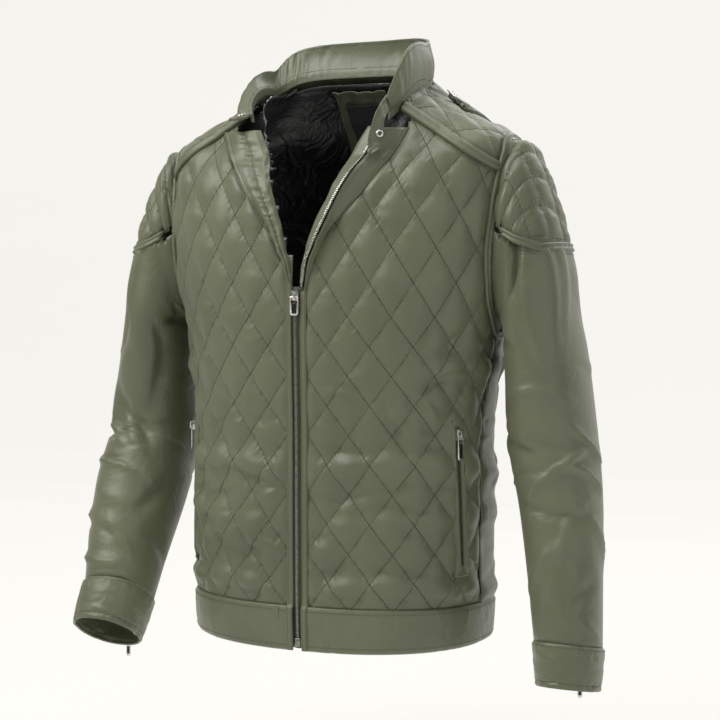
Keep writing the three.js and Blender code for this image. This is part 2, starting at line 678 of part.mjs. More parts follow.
// the cuff's outer face is fullest half way down
const cuffGrow = share => 3.2 - 1.4 * Math.abs(2 * share - 1);
for (const side of ['left', 'right']) {
  const mirror = side === 'left' ? g => g : mirrored;
  const rows = sleeveRows[side];
  const lastPlace = rows.length;

  // the sleeve below its cap
  const outerSleeve = sleeveGrid(rows, 0, lastPlace, 1.4, 0, true);
  const innerSleeve = sleeveGrid(rows, 0, lastPlace, 0.6, -sleeveWall, true);
  const raised = outerSleeve.grid.map((ring, i) => {
    const place = outerSleeve.places[i];
    const centre = ring.reduce((sum, p) => sum.add(p), point(0, 0, 0)).multiplyScalar(1 / ring.length);
    return ring.map((p, k) => p.clone().addScaledVector(p.clone().sub(centre).normalize(),
      sleeveFoldRise(side, place, 360 * k / sleeveSteps)));
  });
  const tube = solidOf(wall(raised, innerSleeve.grid, { tube: true }));
  const sleeve = mainBody(tube.subtract(capZone(-capWeltHalf - gap, 100)));
  for (const [name, zone] of [['sleeve', aboveElbow], ['forearm', belowElbow]]) {
    add(`${name}_${side}`, mirror(geometryOf(mainBody(sleeve.intersect(zone)))), cloth(-0.01, 0.35));
  }

  // the quilted cap, and the double welt along its lower edge
  if (side === 'left') {
    const capOuter = sleeveGrid(rows, 0, 6, 2, 1, true).grid;
    const capInner = sleeveGrid(rows, 0, 6, 1, -sleeveWall, true).grid;
    const puffed = capOuter.map((ring, i) => {
      const centre = ring.reduce((sum, p) => sum.add(p), point(0, 0, 0)).multiplyScalar(1 / ring.length);
      return ring.map((p, k) => p.clone().addScaledVector(p.clone().sub(centre).normalize(),
        i === 0 ? 0 : 0.7 * diamond(k * 2, i * 2 + 2)));
    });
    const cap = solidOf(wall(puffed, capInner, { tube: true }));
    const capGeometry = geometryOf(mainBody(cap.intersect(capZone(capWeltHalf + gap, 100))));
    const rise = solidOf(wall(sleeveGrid(rows, 0, 7, 1, capWeltRise, true).grid,
      sleeveGrid(rows, 0, 7, 1, -sleeveWall, true).grid, { tube: true }));
    const weltGeometry = geometryOf(mainBody(rise.intersect(capZone(-capWeltHalf, capWeltHalf))));
    for (const [name, turn] of [['left', g => g], ['right', mirrored]]) {
      add(`sleeve_cap_${name}`, turn(capGeometry), cloth(0.02));
      add(`cap_welt_${name}`, turn(weltGeometry), cloth(0.01));
    }
  }

  // the cuff
  const cuffGrid = grow => steps(0, 2, 2).map(i => sleeveRing(cuffRows[side][i], sleeveSteps, grow(i / 2))
    .map(p => p.add(cuffDrop)));
  add(`cuff_${side}`, mirror(wall(cuffGrid(cuffGrow), cuffGrid(() => -sleeveWall), { tube: true })),
    cloth(-0.01));
}

// Stand collar, gathered, open and folded outward at the wearer's right end
const collarColumns = ['turn', 'riseX', 'riseY', 'riseZ'];
const collarRows = [
  [-44, 0, -8, 16],
  [-30, -1, -4, 38],
  [-15, -3, 0, 48],
  [0, -5, 0, 48],
  [40, -5, 2, 42],
  [90, 0, 6, 36],
  [130, -5, 12, 35],
  [155, -8, 18, 31],
  [180, -12, 22, 24],
  [205, -17, 12, 12],
  [224, -20, 2, -3],
];
const collarAt = tableOf(collarRows, collarColumns, collarRows.map(row => row[0]));
const collarHalf = 1.6;
const gathers = 28;
const collarLift = turn => 3.6 + 5 * clamp((turn - 150) / 60, 0, 1) + 2 * clamp((-20 - turn) / 20, 0, 1);
const collarTurns = steps(-44, 224, gathers * 3);
const collarGrid = [0, 0.35, 0.75, 1].map(share => collarTurns.map(turn => {
  const base = onBody(neckPlace, turn * radians);
  const rise = collarAt(turn);
  const bulge = 2.5 * Math.sin(Math.PI * share);
  const out = point(Math.cos(turn * radians), Math.sin(turn * radians), 0);
  return base.add(point(rise.riseX, rise.riseY, rise.riseZ).multiplyScalar(share))
    .addScaledVector(out, bulge).add(point(0, 0, collarLift(turn)));
}));
const collarNormals = gridNormals(collarGrid);
const gather = (i, j) => [0.3, 1.2, 1, 0.2][i] * Math.sin(2 * Math.PI * j / 3 + Math.sin(j * 0.7));
add('collar', wall(
  moved(collarGrid, collarNormals, (i, j) => collarHalf + gather(i, j)),
  moved(thinned(collarGrid, 3, 2), thinned(collarNormals, 3, 2), -collarHalf),
), cloth(0));

// A thin plate through rows of points, used for tabs, patches and edge strips.
function plate(rows, half, rise = 0) {
  const normals = gridNormals(rows);
  return wall(moved(rows, normals, half + rise), moved(rows, normals, rise - half));
}

// Pointed tabs at the collar's ends, with the two halves of a snap
const collarEnd = (share, isRight) => {
  const row = collarGrid[share === 0 ? 0 : 3];
  return isRight ? row.at(-1).clone() : row[0].clone();
};
const tabHalf = 1.5;
const shifted = (p, x, y, z) => p.clone().add(point(x, y, z));
const rightBase = collarEnd(0, true);
const rightRim = collarEnd(1, true);
const rightTab = [
  [shifted(rightBase, 1, -1.6, -0.5), shifted(rightRim, 1, -1.6, -0.5)],
  [shifted(rightBase, 1, -18, -5), shifted(rightRim, 0, -20, -3)],
  [shifted(rightBase, -6, -26, -7), shifted(rightRim, 3, -30, -6)],
];
const withMiddles = rows => rows.map(([a, b]) => [a, a.clone().lerp(b, 0.5), b]);
add('collar_tab_right', plate(withMiddles(rightTab), tabHalf), cloth(0));
const leftBase = collarEnd(0, false);
const leftRim = collarEnd(1, false);
const leftTab = [
  [shifted(leftRim, -0.5, -2.4, 0), shifted(leftBase, 0, -2.6, 2)],
  [shifted(leftRim, -5, -22, -22), shifted(leftBase, 4, -24, -12)],
  [shifted(leftRim, -10, -30, -50), shifted(leftBase, 4, -31, -42)],
  [shifted(leftRim, -9, -33, -66), shifted(leftRim, -3, -33.5, -68)],
];
add('collar_tab_left', plate(withMiddles(leftTab), tabHalf), cloth(0.01));

// A round part on a surface: its profile is turned about the surface's own direction.
function roundPart(profile, at, facing, segments = 9) {
  const geometry = new THREE.LatheGeometry(profile.map(([r, h]) => new THREE.Vector2(r, h)), segments);
  const spin = new THREE.Quaternion().setFromUnitVectors(point(0, 1, 0), facing.clone().normalize());
  return geometry.applyQuaternion(spin).translate(at.x, at.y, at.z);
}
const faceOf = (p, q, r) => q.clone().sub(p).cross(r.clone().sub(p)).normalize();
const studFace = faceOf(rightTab[0][0], rightTab[0][1], rightTab[1][0]);
const studUp = studFace.z < 0 ? studFace.negate() : studFace;
const studSeat = rightTab[0][0].clone().lerp(rightTab[1][1], 0.5)
  .addScaledVector(studUp, tabHalf + gap + 0.3);
const studProfile = [[0, 0], [5, 0], [5, 1], [3.6, 1.6], [2, 1.2], [0, 1.2]];
add('snap_stud', roundPart(studProfile, studSeat, studUp), metal(colours.metal));
const socketFace = faceOf(leftTab[1][0], leftTab[2][0], leftTab[1][1]);
const socketOut = socketFace.y > 0 ? socketFace.negate() : socketFace;
const socketSeat = leftTab[1][0].clone().lerp(leftTab[2][1], 0.62)
  .addScaledVector(socketOut, tabHalf + gap + 0.5);
add('snap_socket', roundPart([[2.4, 0], [4.4, 0], [4.4, 1.2], [2.4, 1.2], [2.4, 0]], socketSeat, socketOut),
  metal(colours.metal));

// Edge strips of the front opening: each row has its places across, forward of the body's face.
const frontAt = (x, z, ahead) => facePoint(x, z, -1).add(point(0, -ahead, 0));
const insideEdge = cutter([
  [0, -700], [placketEdge - gap, -700], [placketEdge - gap, -242], ...quiltOutline(-gap), [0, -54],
], -farDeep, 0, 'front');
const crestRise = z => 13 * clamp((z + 245) / 60, 0, 1);
const placketHeights = [bandTop + gap / 2, -540, -470, -400, -330, -270, ...openHeights];
const placketLeft = placketHeights.map(z => {
  const edge = z < -238 ? { quiltEdge: placketEdge, crestEdge: tapeEdge } : openingAt(z);
  const inner = Math.max(tapeEdge, edge.crestEdge) + gap;
  const outer = Math.max(edge.quiltEdge + 1, inner + 3.2);
  return [frontAt(inner, z, crestRise(z)), frontAt((inner + outer) / 2, z, crestRise(z) * 0.35 - 0.4),
    frontAt(outer, z, 0)];
});
const placket = rows => geometryOf(mainBody(solidOf(plate(rows, 1.3, 0.4)).intersect(insideEdge)));
add('placket_left', placket(placketLeft), cloth(-0.02));
const placketRight = placketHeights.slice(0, 9).map(z =>
  [frontAt(tapeEdge + gap, z, 0), frontAt(8.2, z, 0), frontAt(placketEdge + 1, z, 0)]);
add('placket_right', mirrored(placket(placketRight)), cloth(-0.02));

// Above the zip the left edge's facing falls back inside, and the right edge is turned flat over the front.
const facingLeft = openHeights.map(z => {
  const edge = openingAt(z);
  const crest = Math.max(tapeEdge, edge.crestEdge) + gap;
  return [frontAt(edge.rollEdge - 3, z, -10), frontAt(edge.rollEdge, z, crestRise(z) * 0.5 + 1),
    frontAt(crest - 2.4, z, crestRise(z) + 0.3)];
});
add('facing_left', plate(facingLeft, 0.9), cloth(0));
const flapRise = z => 7.6 - 3 * clamp((-195 - z) / 30, 0, 1);
const flapRight = openHeights.slice(1).map(z => {
  const edge = openingAt(z);
  const middle = (edge.rollEdge + edge.flapEdge) / 2;
  return [frontAt(edge.rollEdge, z, flapRise(z) - 3.5), frontAt(middle, z, flapRise(z) + 1.2),
    frontAt(edge.flapEdge, z, flapRise(z) + 1)];
});
add('flap_right', mirrored(plate(flapRight, 1)), cloth(0.01));

// Front zip: tape, and a chain that parts at the slider and follows both open edges
const hemFront = -655;
const sliderHeight = -246;
const tapeRows = [hemFront + 2, -600, -500, -400, -300, sliderHeight + 8].map(z =>
  [frontAt(-tapeEdge + gap, z, 0), frontAt(0, z, 0.2), frontAt(tapeEdge - gap, z, 0)]);
add('zip_tape', plate(tapeRows, 0.6, -0.6), cloth(-0.1));
function chain(path, radius, sides = 5, pieces = 9) {
  const shape = new THREE.Shape(Array.from({ length: sides }, (_, k) => {
    const turn = 2 * Math.PI * k / sides;
    return new THREE.Vector2(radius * Math.cos(turn), radius * Math.sin(turn));
  }));
  return new THREE.ExtrudeGeometry(shape, {
    steps: pieces, bevelEnabled: false, extrudePath: new THREE.CatmullRomCurve3(path),
  });
}
const chainPath = [hemFront + 16, -560, -470, -380, -300, sliderHeight - 10].map(z => frontAt(0, z, 2.6));
add('zip_chain', chain(chainPath, 1.9), metal(colours.metal));
const openChain = openHeights.slice(1).map(z =>
  frontAt(Math.max(tapeEdge, openingAt(z).crestEdge) - 1.2, z, crestRise(z) + 4));
add('open_chain_left', chain(openChain, 1.4), metal(colours.metal));
const flapChain = openHeights.slice(1).map(z => {
  const p = frontAt(openingAt(z).flapEdge, z, flapRise(z) + 4);
  return point(-p.x, p.y, p.z);
});
add('open_chain_right', chain(flapChain, 1.3), metal(colours.metal));

// A zip slider with its bridge, and a pull tab that hangs on the bridge. Both face -Y before they are placed.
const pins = 8;
function box(wide, deep, high, x, y, z) {
  return solidOf(new THREE.BoxGeometry(wide, deep, high).translate(x, y, z));
}
function slider(name, { wide, high, tabWide, tabLong, place, swing = 0, mirror = g => g }) {
  const depth = 3.4;
  const bridgeTall = 2.2;
  const leg = 1.3;
  const hollow = 2.8;
  const body = box(wide, depth, high, 0, -depth / 2, 0);
  const arch = box(2.2, bridgeTall + leg, 2 * (hollow + leg), 0, -depth - (bridgeTall + leg) / 2 + 0.01, 0)
    .subtract(box(4, bridgeTall, 2 * hollow, 0, -depth - bridgeTall / 2 - 0.01, 0));
  add(name, mirror(geometryOf(body.add(arch)).applyMatrix4(place)), metal(colours.metal));

  const pinRadius = 0.75;
  const pinY = -depth - bridgeTall / 2;
  const pinZ = -hollow + pinRadius + gap;
  const pin = solidOf(new THREE.CylinderGeometry(pinRadius, pinRadius, tabWide, pins)
    .rotateZ(Math.PI / 2).translate(0, pinY, pinZ));
  const shape = new THREE.Shape([
    [-tabWide / 2, 0], [tabWide / 2, 0], [tabWide / 2, -tabLong + 2], [tabWide / 2 - 2, -tabLong],
    [-tabWide / 2 + 2, -tabLong], [-tabWide / 2, -tabLong + 2],
  ].map(([x, z]) => new THREE.Vector2(x, z)));
  const windowLong = 7.2;
  const sheet = solidOf(new THREE.ExtrudeGeometry(shape, { depth: 1.2, bevelEnabled: false })
    .rotateX(Math.PI / 2).translate(0, pinY + 0.6, pinZ))
    .subtract(box(tabWide - 2.6, 3, windowLong, 0, pinY, pinZ - windowLong / 2));
  const hanging = geometryOf(pin.add(sheet))
    .translate(0, -pinY, -pinZ).rotateX(swing).translate(0, pinY, pinZ);
  add(`${name}_tab`, mirror(hanging.applyMatrix4(place)), metal(colours.metal));
}
function placed(at, out, up) {
  const back = out.clone().negate();
  return new THREE.Matrix4().makeBasis(back.clone().cross(up), back, up).setPosition(at);
}
const upright = point(0, 0, 1);
slider('front_slider', {
  wide: 9, high: 11, tabWide: 10.5, tabLong: 21,
  place: placed(frontAt(0, sliderHeight, 1.2), point(0, -1, 0), upright),
});

// Bottom stop of the front zip
const stopAt = frontAt(0, hemFront + 9, 2.6);
add('bottom_stop', geometryOf(box(7.2, 4, 10, 0, 0, 0)).translate(stopAt.x, stopAt.y, stopAt.z),
  metal(colours.metal));

// Side pockets: a zip chain in each welt, with its slider at the top
function sidePoint(y, z, out) {
  const reach = sideReach(y, z);
  const normal = point(1, (sideReach(y - 1, z) - sideReach(y + 1, z)) / 2,
    (sideReach(y, z - 1) - sideReach(y, z + 1)) / 2);
  return point(reach, y, z).addScaledVector(normal.normalize(), out);
}
const pocketMiddle = z => -66 + 8 * (pocketTop - z) / (pocketTop - pocketFoot);
const pocketPath = steps(pocketFoot + 8, pocketTop - 20, 4).map(z => sidePoint(pocketMiddle(z), z, 5));
const pocketSliderAt = sidePoint(pocketMiddle(pocketTop), pocketTop - 10, 5);
const pocketOut = pocketSliderAt.clone().sub(sidePoint(pocketMiddle(pocketTop), pocketTop - 10, 0))
  .setZ(0).normalize();
for (const [side, mirror] of [['left', g => g], ['right', mirrored]]) {
  const bare = chain(pocketPath, 1.3, 5, 6).deleteAttribute('normal').deleteAttribute('uv');
  const run = mergeVertices(bare, 1e-4);
  add(`pocket_chain_${side}`, mirror(run), metal(colours.dark));
  slider(`pocket_slider_${side}`, {
    wide: 8, high: 12, tabWide: 8.5, tabLong: 28, place: placed(pocketSliderAt, pocketOut, upright), mirror,
  });
}

// Cuff zips, at the back of each cuff
for (const [side, mirror] of [['left', g => g], ['right', mirrored]]) {
  const tilt = cuffRows[side][2][sleeveColumns.indexOf('tilt')] * radians;
  const out = point(0, Math.cos(tilt), -Math.sin(tilt));
  const up = point(0, Math.sin(tilt), Math.cos(tilt));
  const [top, middle, foot] = cuffRows[side].map(row => sleeveRing(row, 4, 0)[3].add(cuffDrop));
  const at = (share, x, rise) => {
    const seam = share < 0.5 ? top.clone().lerp(middle, 2 * share) : middle.clone().lerp(foot, 2 * share - 1);
    return seam.add(point(x, 0, 0)).addScaledVector(out, cuffGrow(share) + gap + rise);
  };
  const tape = [0.66, 0.5, 0.3, 0.04].map(share => [at(share, 4, 0.8), at(share, -4, 0.8)]);
  add(`cuff_zip_${side}`, mirror(plate(tape, 0.7)), shiny(colours.dark));
  slider(`cuff_slider_${side}`, {
    wide: 6.5, high: 9, tabWide: 6, tabLong: 20, place: placed(at(0.8, 0, 0.5), out, up),
    swing: -tilt, mirror,
  });
}

// Black lining behind every panel, with its own armholes and its front edges behind the open fronts
const liningBack = 9.5;
const liningDrop = place => 11 * clamp((place - bodyPlaces[9]) / (bodyPlaces[12] - bodyPlaces[9]), 0, 1);
const liningPlaces = [
  ...steps(bodyPlaces[2], bodyPlaces[8], 2), ...bodyPlaces.slice(9, 14), bodyPlaces[14] + 18,
];
const liningTurns = 24;
function liningPoint(place, turn, inset) {
  const p = onBody(place, turn);
  const ring = ringAt(place);
  const deep = p.y < 0 ? ring.frontDeep : ring.backDeep;
  const drop = liningDrop(place) * inset / liningBack;
  return point(p.x * (1 - inset / ring.half), p.y * (1 - inset / deep), p.z - drop);
}
const liningHem = 3.2;            // the lining is sewn in at the hem band's upper edge
const liningGrid = depth => liningPlaces.map((place, i) => Array.from({ length: liningTurns }, (_, j) =>
  liningPoint(place, 2 * Math.PI * j / liningTurns, (i === 0 ? liningHem : liningBack) + depth)));
const liningTube = solidOf(wall(liningGrid(0), liningGrid(1), { tube: true }));
const rollOutline = openHeights.map(z => [openingAt(z).rollEdge + 2.5, z]);
const openFront = cutter([
  [0, -236], ...rollOutline, [76, 100], [-76, 100], ...[...rollOutline].reverse().map(([x, z]) => [-x, z]),
], -farDeep, 0, 'front');
const shoulderTrim = cutter([
  [-300, -700], [300, -700], [300, -116], [168, -100], [150, -56], [105, 40],
  [-105, 40], [-150, -56], [-168, -100], [-300, -116],
], -farDeep, farDeep, 'front');
const lining = mainBody(liningTube.intersect(shoulderTrim).subtract(openFront)
  .subtract(bothSides(armholeZone(-4))).intersect(underNeck));
add('lining', geometryOf(lining), shiny(colours.lining));

// Neck facing, a bare label and a small size tab, one on the other at the centre back
function backPatch(rows, across, half, inset) {
  return plate(rows.map(([z, reach, middle]) => {
    const place = solveFor(0, topPlace, p => ringAt(p).back - liningDrop(p) * inset / liningBack > z);
    const ring = ringAt(place);
    return steps(1, -1, across).map(share => {
      const x = (middle + reach * share) / (ring.half - inset);
      return liningPoint(place, Math.acos(Math.sign(x) * Math.abs(x) ** (ring.square / 2)), inset);
    });
  }), half);
}
const facingRows = [[-88, 3, 0], [-70, 37, 0], [-42, 37, 0], [-16, 37, 0], [4, 36, 0]];
add('neck_facing', backPatch(facingRows, 6, 0.6, liningBack + 3.1),
  cloth(0.03));
add('label', backPatch([[-58, 25, 0], [-42, 25, 0], [-26, 25, 0], [-10, 25, 0]], 4, 0.5, liningBack + 6.1),
  shiny(colours.label));
add('size_tab', backPatch([[-71, 5, 4], [-61, 5, 4]], 1, 0.4, liningBack + 5.6), shiny(colours.label));

// Thread loop beside the zip on the hem band
const loopAt = frontAt(-27, bandTop - 9, 5.2);
const loopSection = [[2.6, -0.7], [4.2, -0.7], [4.2, 0.7], [2.6, 0.7], [2.6, -0.7]];
add('hem_loop', roundPart(loopSection, loopAt, point(0, -1, 0), 10),
  cloth(-0.05));

export default jacket;
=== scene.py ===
import math

import bmesh
import bpy
import numpy as np
from mathutils import Matrix, Vector


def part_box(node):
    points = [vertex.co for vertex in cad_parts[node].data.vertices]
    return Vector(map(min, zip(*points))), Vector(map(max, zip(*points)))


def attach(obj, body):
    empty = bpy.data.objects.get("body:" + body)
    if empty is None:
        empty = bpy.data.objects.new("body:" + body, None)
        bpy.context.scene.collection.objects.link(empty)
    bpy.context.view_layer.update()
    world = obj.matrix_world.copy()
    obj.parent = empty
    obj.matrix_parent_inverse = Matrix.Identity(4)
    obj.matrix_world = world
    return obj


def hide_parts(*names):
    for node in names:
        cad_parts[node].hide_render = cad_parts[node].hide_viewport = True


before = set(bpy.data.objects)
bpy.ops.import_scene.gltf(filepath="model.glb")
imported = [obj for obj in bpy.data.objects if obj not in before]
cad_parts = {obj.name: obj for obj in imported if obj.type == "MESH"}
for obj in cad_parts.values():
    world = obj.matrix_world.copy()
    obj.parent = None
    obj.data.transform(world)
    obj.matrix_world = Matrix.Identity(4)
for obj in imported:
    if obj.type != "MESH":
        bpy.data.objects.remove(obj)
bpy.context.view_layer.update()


# The photographer's room: a camera in front and a little to the wearer's left,
# a pale floor that rises into a backdrop, and soft studio lamps.
def to_vector(azimuth, elevation):
    turn, rise = math.radians(azimuth), math.radians(elevation)
    return Vector((math.sin(turn) * math.cos(rise), -math.cos(turn) * math.cos(rise), math.sin(rise)))


camera_data = bpy.data.cameras.new("camera")
camera_data.lens = 84.4
camera_data.sensor_width = 36
camera = bpy.data.objects.new("camera", camera_data)
bpy.context.scene.collection.objects.link(camera)
aim = Vector((0.0186, 0, -0.324))
camera.location = aim + to_vector(23.3, 2.2) * 2.052
camera.rotation_euler = (aim - camera.location).to_track_quat("-Z", "Y").to_euler()
camera.rotation_euler.rotate_axis("Z", math.radians(0.25))
bpy.context.scene.camera = camera

for name, azimuth, elevation, distance, size, power, tone in (
    ("key_lamp", -42, 44, 2.6, 1.3, 50, (1.0, 0.98, 0.95)),
    ("fill_lamp", 58, 12, 2.8, 2.0, 13, (0.96, 0.98, 1.0)),
    ("top_lamp", 10, 80, 2.2, 1.2, 22, (1.0, 1.0, 1.0)),
    ("rear_lamp", 165, 40, 2.6, 1.6, 18, (1.0, 1.0, 1.0)),
):
    lamp_data = bpy.data.lights.new(name, "AREA")
    lamp_data.energy, lamp_data.size, lamp_data.color = power, size, tone
    lamp = bpy.data.objects.new(name, lamp_data)
    lamp.location = Vector((0, 0, -0.3)) + to_vector(azimuth, elevation) * distance
    lamp.rotation_euler = (Vector((0, 0, -0.3)) - lamp.location).to_track_quat("-Z", "Y").to_euler()
    bpy.context.scene.collection.objects.link(lamp)

world = bpy.data.worlds.new("room")
world.use_nodes = True
room_light = world.node_tree.nodes["Background"]
room_light.inputs["Color"].default_value = (0.88, 0.87, 0.83, 1)
room_light.inputs["Strength"].default_value = 0.2
room_wall = world.node_tree.nodes.new("ShaderNodeBackground")
room_wall.inputs["Color"].default_value = (0.885, 0.875, 0.835, 1)
seen = world.node_tree.nodes.new("ShaderNodeLightPath")
room_mix = world.node_tree.nodes.new("ShaderNodeMixShader")
room_surface = world.node_tree.nodes["World Output"].inputs["Surface"]
for source, target in ((seen.outputs["Is Camera Ray"], room_mix.inputs[0]), (room_light.outputs[0], room_mix.inputs[1]),
                       (room_wall.outputs[0], room_mix.inputs[2]), (room_mix.outputs[0], room_surface)):
    world.node_tree.links.new(source, target)
bpy.context.scene.world = world
bpy.context.scene.view_settings.view_transform = "Standard"


class Shade:
    """A socket of a material under work. Sums on it add Math nodes."""

    def __init__(self, tree, socket=None):
        self.tree = tree
        self.socket = socket

    def make(self, kind, settings=None, sockets=None, out=0):
        node = self.tree.nodes.new(kind)
        for key, value in (settings or {}).items():
            if key == "stops":
                for i, (place, colour) in enumerate(value):
                    stop = node.color_ramp.elements[i] if i < 2 else node.color_ramp.elements.new(place)
                    stop.position = place
                    stop.color = colour
            else:
                setattr(node, key, value)
        for key, value in (sockets or {}).items():
            if isinstance(value, Shade):
                self.tree.links.new(value.socket, node.inputs[key])
            else:
                node.inputs[key].default_value = value
        return Shade(self.tree, node.outputs[out])

    def math(self, operation, *values):
        return self.make("ShaderNodeMath", {"operation": operation}, dict(enumerate(values)))

    def __add__(self, other):
        return self.math("ADD", self, other)

    def __radd__(self, other):
        return self.math("ADD", other, self)

    def __sub__(self, other):
        return self.math("SUBTRACT", self, other)

    def __rsub__(self, other):
        return self.math("SUBTRACT", other, self)

    def __mul__(self, other):
        return self.math("MULTIPLY", self, other)

    def __rmul__(self, other):
        return self.math("MULTIPLY", other, self)

    def __truediv__(self, other):
        return self.math("DIVIDE", self, other)

    def __pow__(self, other):
        return self.math("POWER", self, other)


def new_material(name, **constants):
    """A material with its shader, and a Shade to build on. Constants go straight on the shader's own sockets."""
    material = bpy.data.materials.new(name)
    material.use_nodes = True
    shader = material.node_tree.nodes["Principled BSDF"]
    for key, value in constants.items():
        shader.inputs[key.replace("_", " ")].default_value = value
    return material, Shade(material.node_tree), shader


def wire(shade, shader, **links):
    for key, value in links.items():
        shade.tree.links.new(value.socket, shader.inputs[key.replace("_", " ")])


backdrop_bm = bmesh.new()
bmesh.ops.create_grid(backdrop_bm, x_segments=2, y_segments=60, size=0.5)
wall_start, wall_bend = 2.2, 1.2
for vert in backdrop_bm.verts:
    run = (vert.co.y + 0.5) * 14 - 5
    bend = min(max(run - wall_start, 0), wall_bend * math.pi / 2) / wall_bend
    past = max(run - wall_start - wall_bend * math.pi / 2, 0)
    vert.co = Vector((
        vert.co.x * 16,
        min(run, wall_start) + wall_bend * math.sin(bend),
        -0.85 + wall_bend * (1 - math.cos(bend)) + past,
    ))
backdrop_mesh = bpy.data.meshes.new("backdrop")
backdrop_bm.to_mesh(backdrop_mesh)
backdrop = bpy.data.objects.new("backdrop", backdrop_mesh)
bpy.context.scene.collection.objects.link(backdrop)
backdrop_material, shade, shader = new_material(
    "pale_paper", Base_Color=(0.12, 0.118, 0.112, 1), Roughness=0.95, Emission_Color=(0.83, 0.82, 0.785, 1),
    Emission_Strength=1.0)
backdrop_mesh.materials.append(backdrop_material)


# The jacket's body form, as the wearer fills it: rings from the hem to the neck, squarer towards the neck
# and lower in front. Every panel of the body is laid on this form, and its folds stand out from it.
def smooth(places, values):
    """A curve through a table's rows that never overshoots them."""
    places = np.asarray(places, float)
    values = np.asarray(values, float)
    steps = np.diff(places)
    slopes = np.diff(values, axis=0) / steps[:, None]
    before, after = slopes[:-1], slopes[1:]
    climbing = before * after > 0
    tangents = np.vstack([
        slopes[:1],
        np.where(climbing, 2 * before * after / np.where(climbing, before + after, 1), 0),
        slopes[-1:],
    ])

    def at(place):
        place = np.asarray(place, float)
        i = np.clip(np.searchsorted(places, place, side="right") - 1, 0, len(places) - 2)
        step = steps[i][..., None]
        t = np.clip((place - places[i]) / steps[i], 0, 1)[..., None]
        rise = t * t * (3 - 2 * t)
        bend = tangents[i] * t * (1 - t) ** 2 - tangents[i + 1] * t * t * (1 - t)
        return values[i] * (1 - rise) + values[i + 1] * rise + step * bend

    return at


# columns: height at the side, in front and behind, half width, depth in front and behind, squareness
body_rings = np.array([
    (-660, -664, -656, 177, 130, 111, 2.35),
    (-640, -644, -637, 180, 132, 113, 2.35),
    (-602, -606, -600, 182, 134, 116, 2.35),
    (-490, -491, -489, 182, 136, 118, 2.35),
    (-406, -406, -406, 181, 137, 120, 2.35),
    (-330, -331, -329, 189, 140, 124, 2.35),
    (-273, -276, -271, 198, 142, 128, 2.35),
    (-230, -236, -226, 208, 141, 130, 2.35),
    (-180, -190, -172, 216, 138, 130, 2.35),
    (-112, -130, -100, 217, 127, 124, 2.4),
    (-78, -104, -62, 216, 116, 114, 2.4),
    (-60, -96, -40, 209, 109, 104, 2.4),
    (-36, -86, -12, 165, 101, 84, 2.8),
    (-12, -72, 12, 125, 97, 62, 3.5),
    (3, -58, 28, 102, 94, 42, 4.5),
    (60, 20, 80, 97, 88, 40, 4.5),
    (120, 90, 130, 97, 88, 40, 4.5),
])
neck_ring = 14
ring_dip = 2.2
ring_places = np.concatenate([[0], np.cumsum(np.hypot(np.diff(body_rings[:, 0]), np.diff(body_rings[:, 3])))])
ring_at = smooth(ring_places, body_rings)
hem_bottom, band_top = -652, -604
gap = 0.3


def narrowed(is_past, shape, low=0.0, high=None):
    """The place along the rings where a measure passes its mark, for many points at once."""
    low = np.full(shape, low)
    high = np.full(shape, ring_places[-1] if high is None else high)
    for _ in range(26):
        middle = (low + high) / 2
        past = is_past(middle)
        high = np.where(past, middle, high)
        low = np.where(past, low, middle)
    return (low + high) / 2


def on_body(place, turn):
    side, front, back, half, front_deep, back_deep, square = np.moveaxis(ring_at(place), -1, 0)
    ahead = np.sin(turn) < 0
    share = np.abs(np.sin(turn)) ** (2 / square)
    x = np.sign(np.cos(turn)) * half * np.abs(np.cos(turn)) ** (2 / square)
    y = np.where(ahead, -front_deep, back_deep) * share
    return np.stack([x, y, side + (np.where(ahead, front, back) - side) * share ** ring_dip], -1)


def face_point(x, z, side):
    """The body's front (side -1) or back (side 1) at a place of the front view."""
    def of_ring(place):
        ring = np.moveaxis(ring_at(place), -1, 0)
        half, square = ring[3], ring[6]
        share = (1 - np.clip(np.abs(x) / half, 0, 1) ** square) ** (1 / square)
        height = ring[0] + ((ring[1] if side < 0 else ring[2]) - ring[0]) * share ** ring_dip
        return height, side * share * (ring[4] if side < 0 else ring[5])

    x, z = np.broadcast_arrays(np.asarray(x, float), np.asarray(z, float))
    place = narrowed(lambda p: of_ring(p)[0] > z, x.shape)
    return np.stack([x, of_ring(place)[1], z], -1)


def side_reach(y, z):
    """How far the body reaches sideways at a place of the side view."""
    def share_of(ring):
        return np.clip(np.abs(y) / np.where(y < 0, ring[4], ring[5]), 0, 1)

    def height(place):
        ring = np.moveaxis(ring_at(place), -1, 0)
        return ring[0] + (np.where(y < 0, ring[1], ring[2]) - ring[0]) * share_of(ring) ** ring_dip

    place = narrowed(lambda p: height(p) > z, np.broadcast(y, z).shape)
    ring = np.moveaxis(ring_at(place), -1, 0)
    return ring[3] * (1 - share_of(ring) ** ring[6]) ** (1 / ring[6])


chart_low, chart_rise, chart_run = -664.0, 2.0, 1.5
chart_heights = np.arange(chart_low, 62, chart_rise)
chart_turns = np.linspace(-math.pi / 2, math.pi / 2, 360)
level_z, level_turn = np.meshgrid(chart_heights, chart_turns, indexing="ij")
levels = on_body(narrowed(lambda p: on_body(p, level_turn)[..., 2] > level_z, level_z.shape), level_turn)


def chart_of(lines):
    """Level lines of the body, measured out evenly from their first point."""
    runs = np.linalg.norm(np.diff(lines, axis=1), axis=2)
    lengths = np.concatenate([np.zeros((len(lines), 1)), np.cumsum(runs, axis=1)], axis=1)
    wanted = np.arange(0, 600, chart_run)
    return np.stack([
        np.stack([np.interp(wanted, lengths[i], line[:, k]) for k in range(3)], -1)
        for i, line in enumerate(lines)
    ])


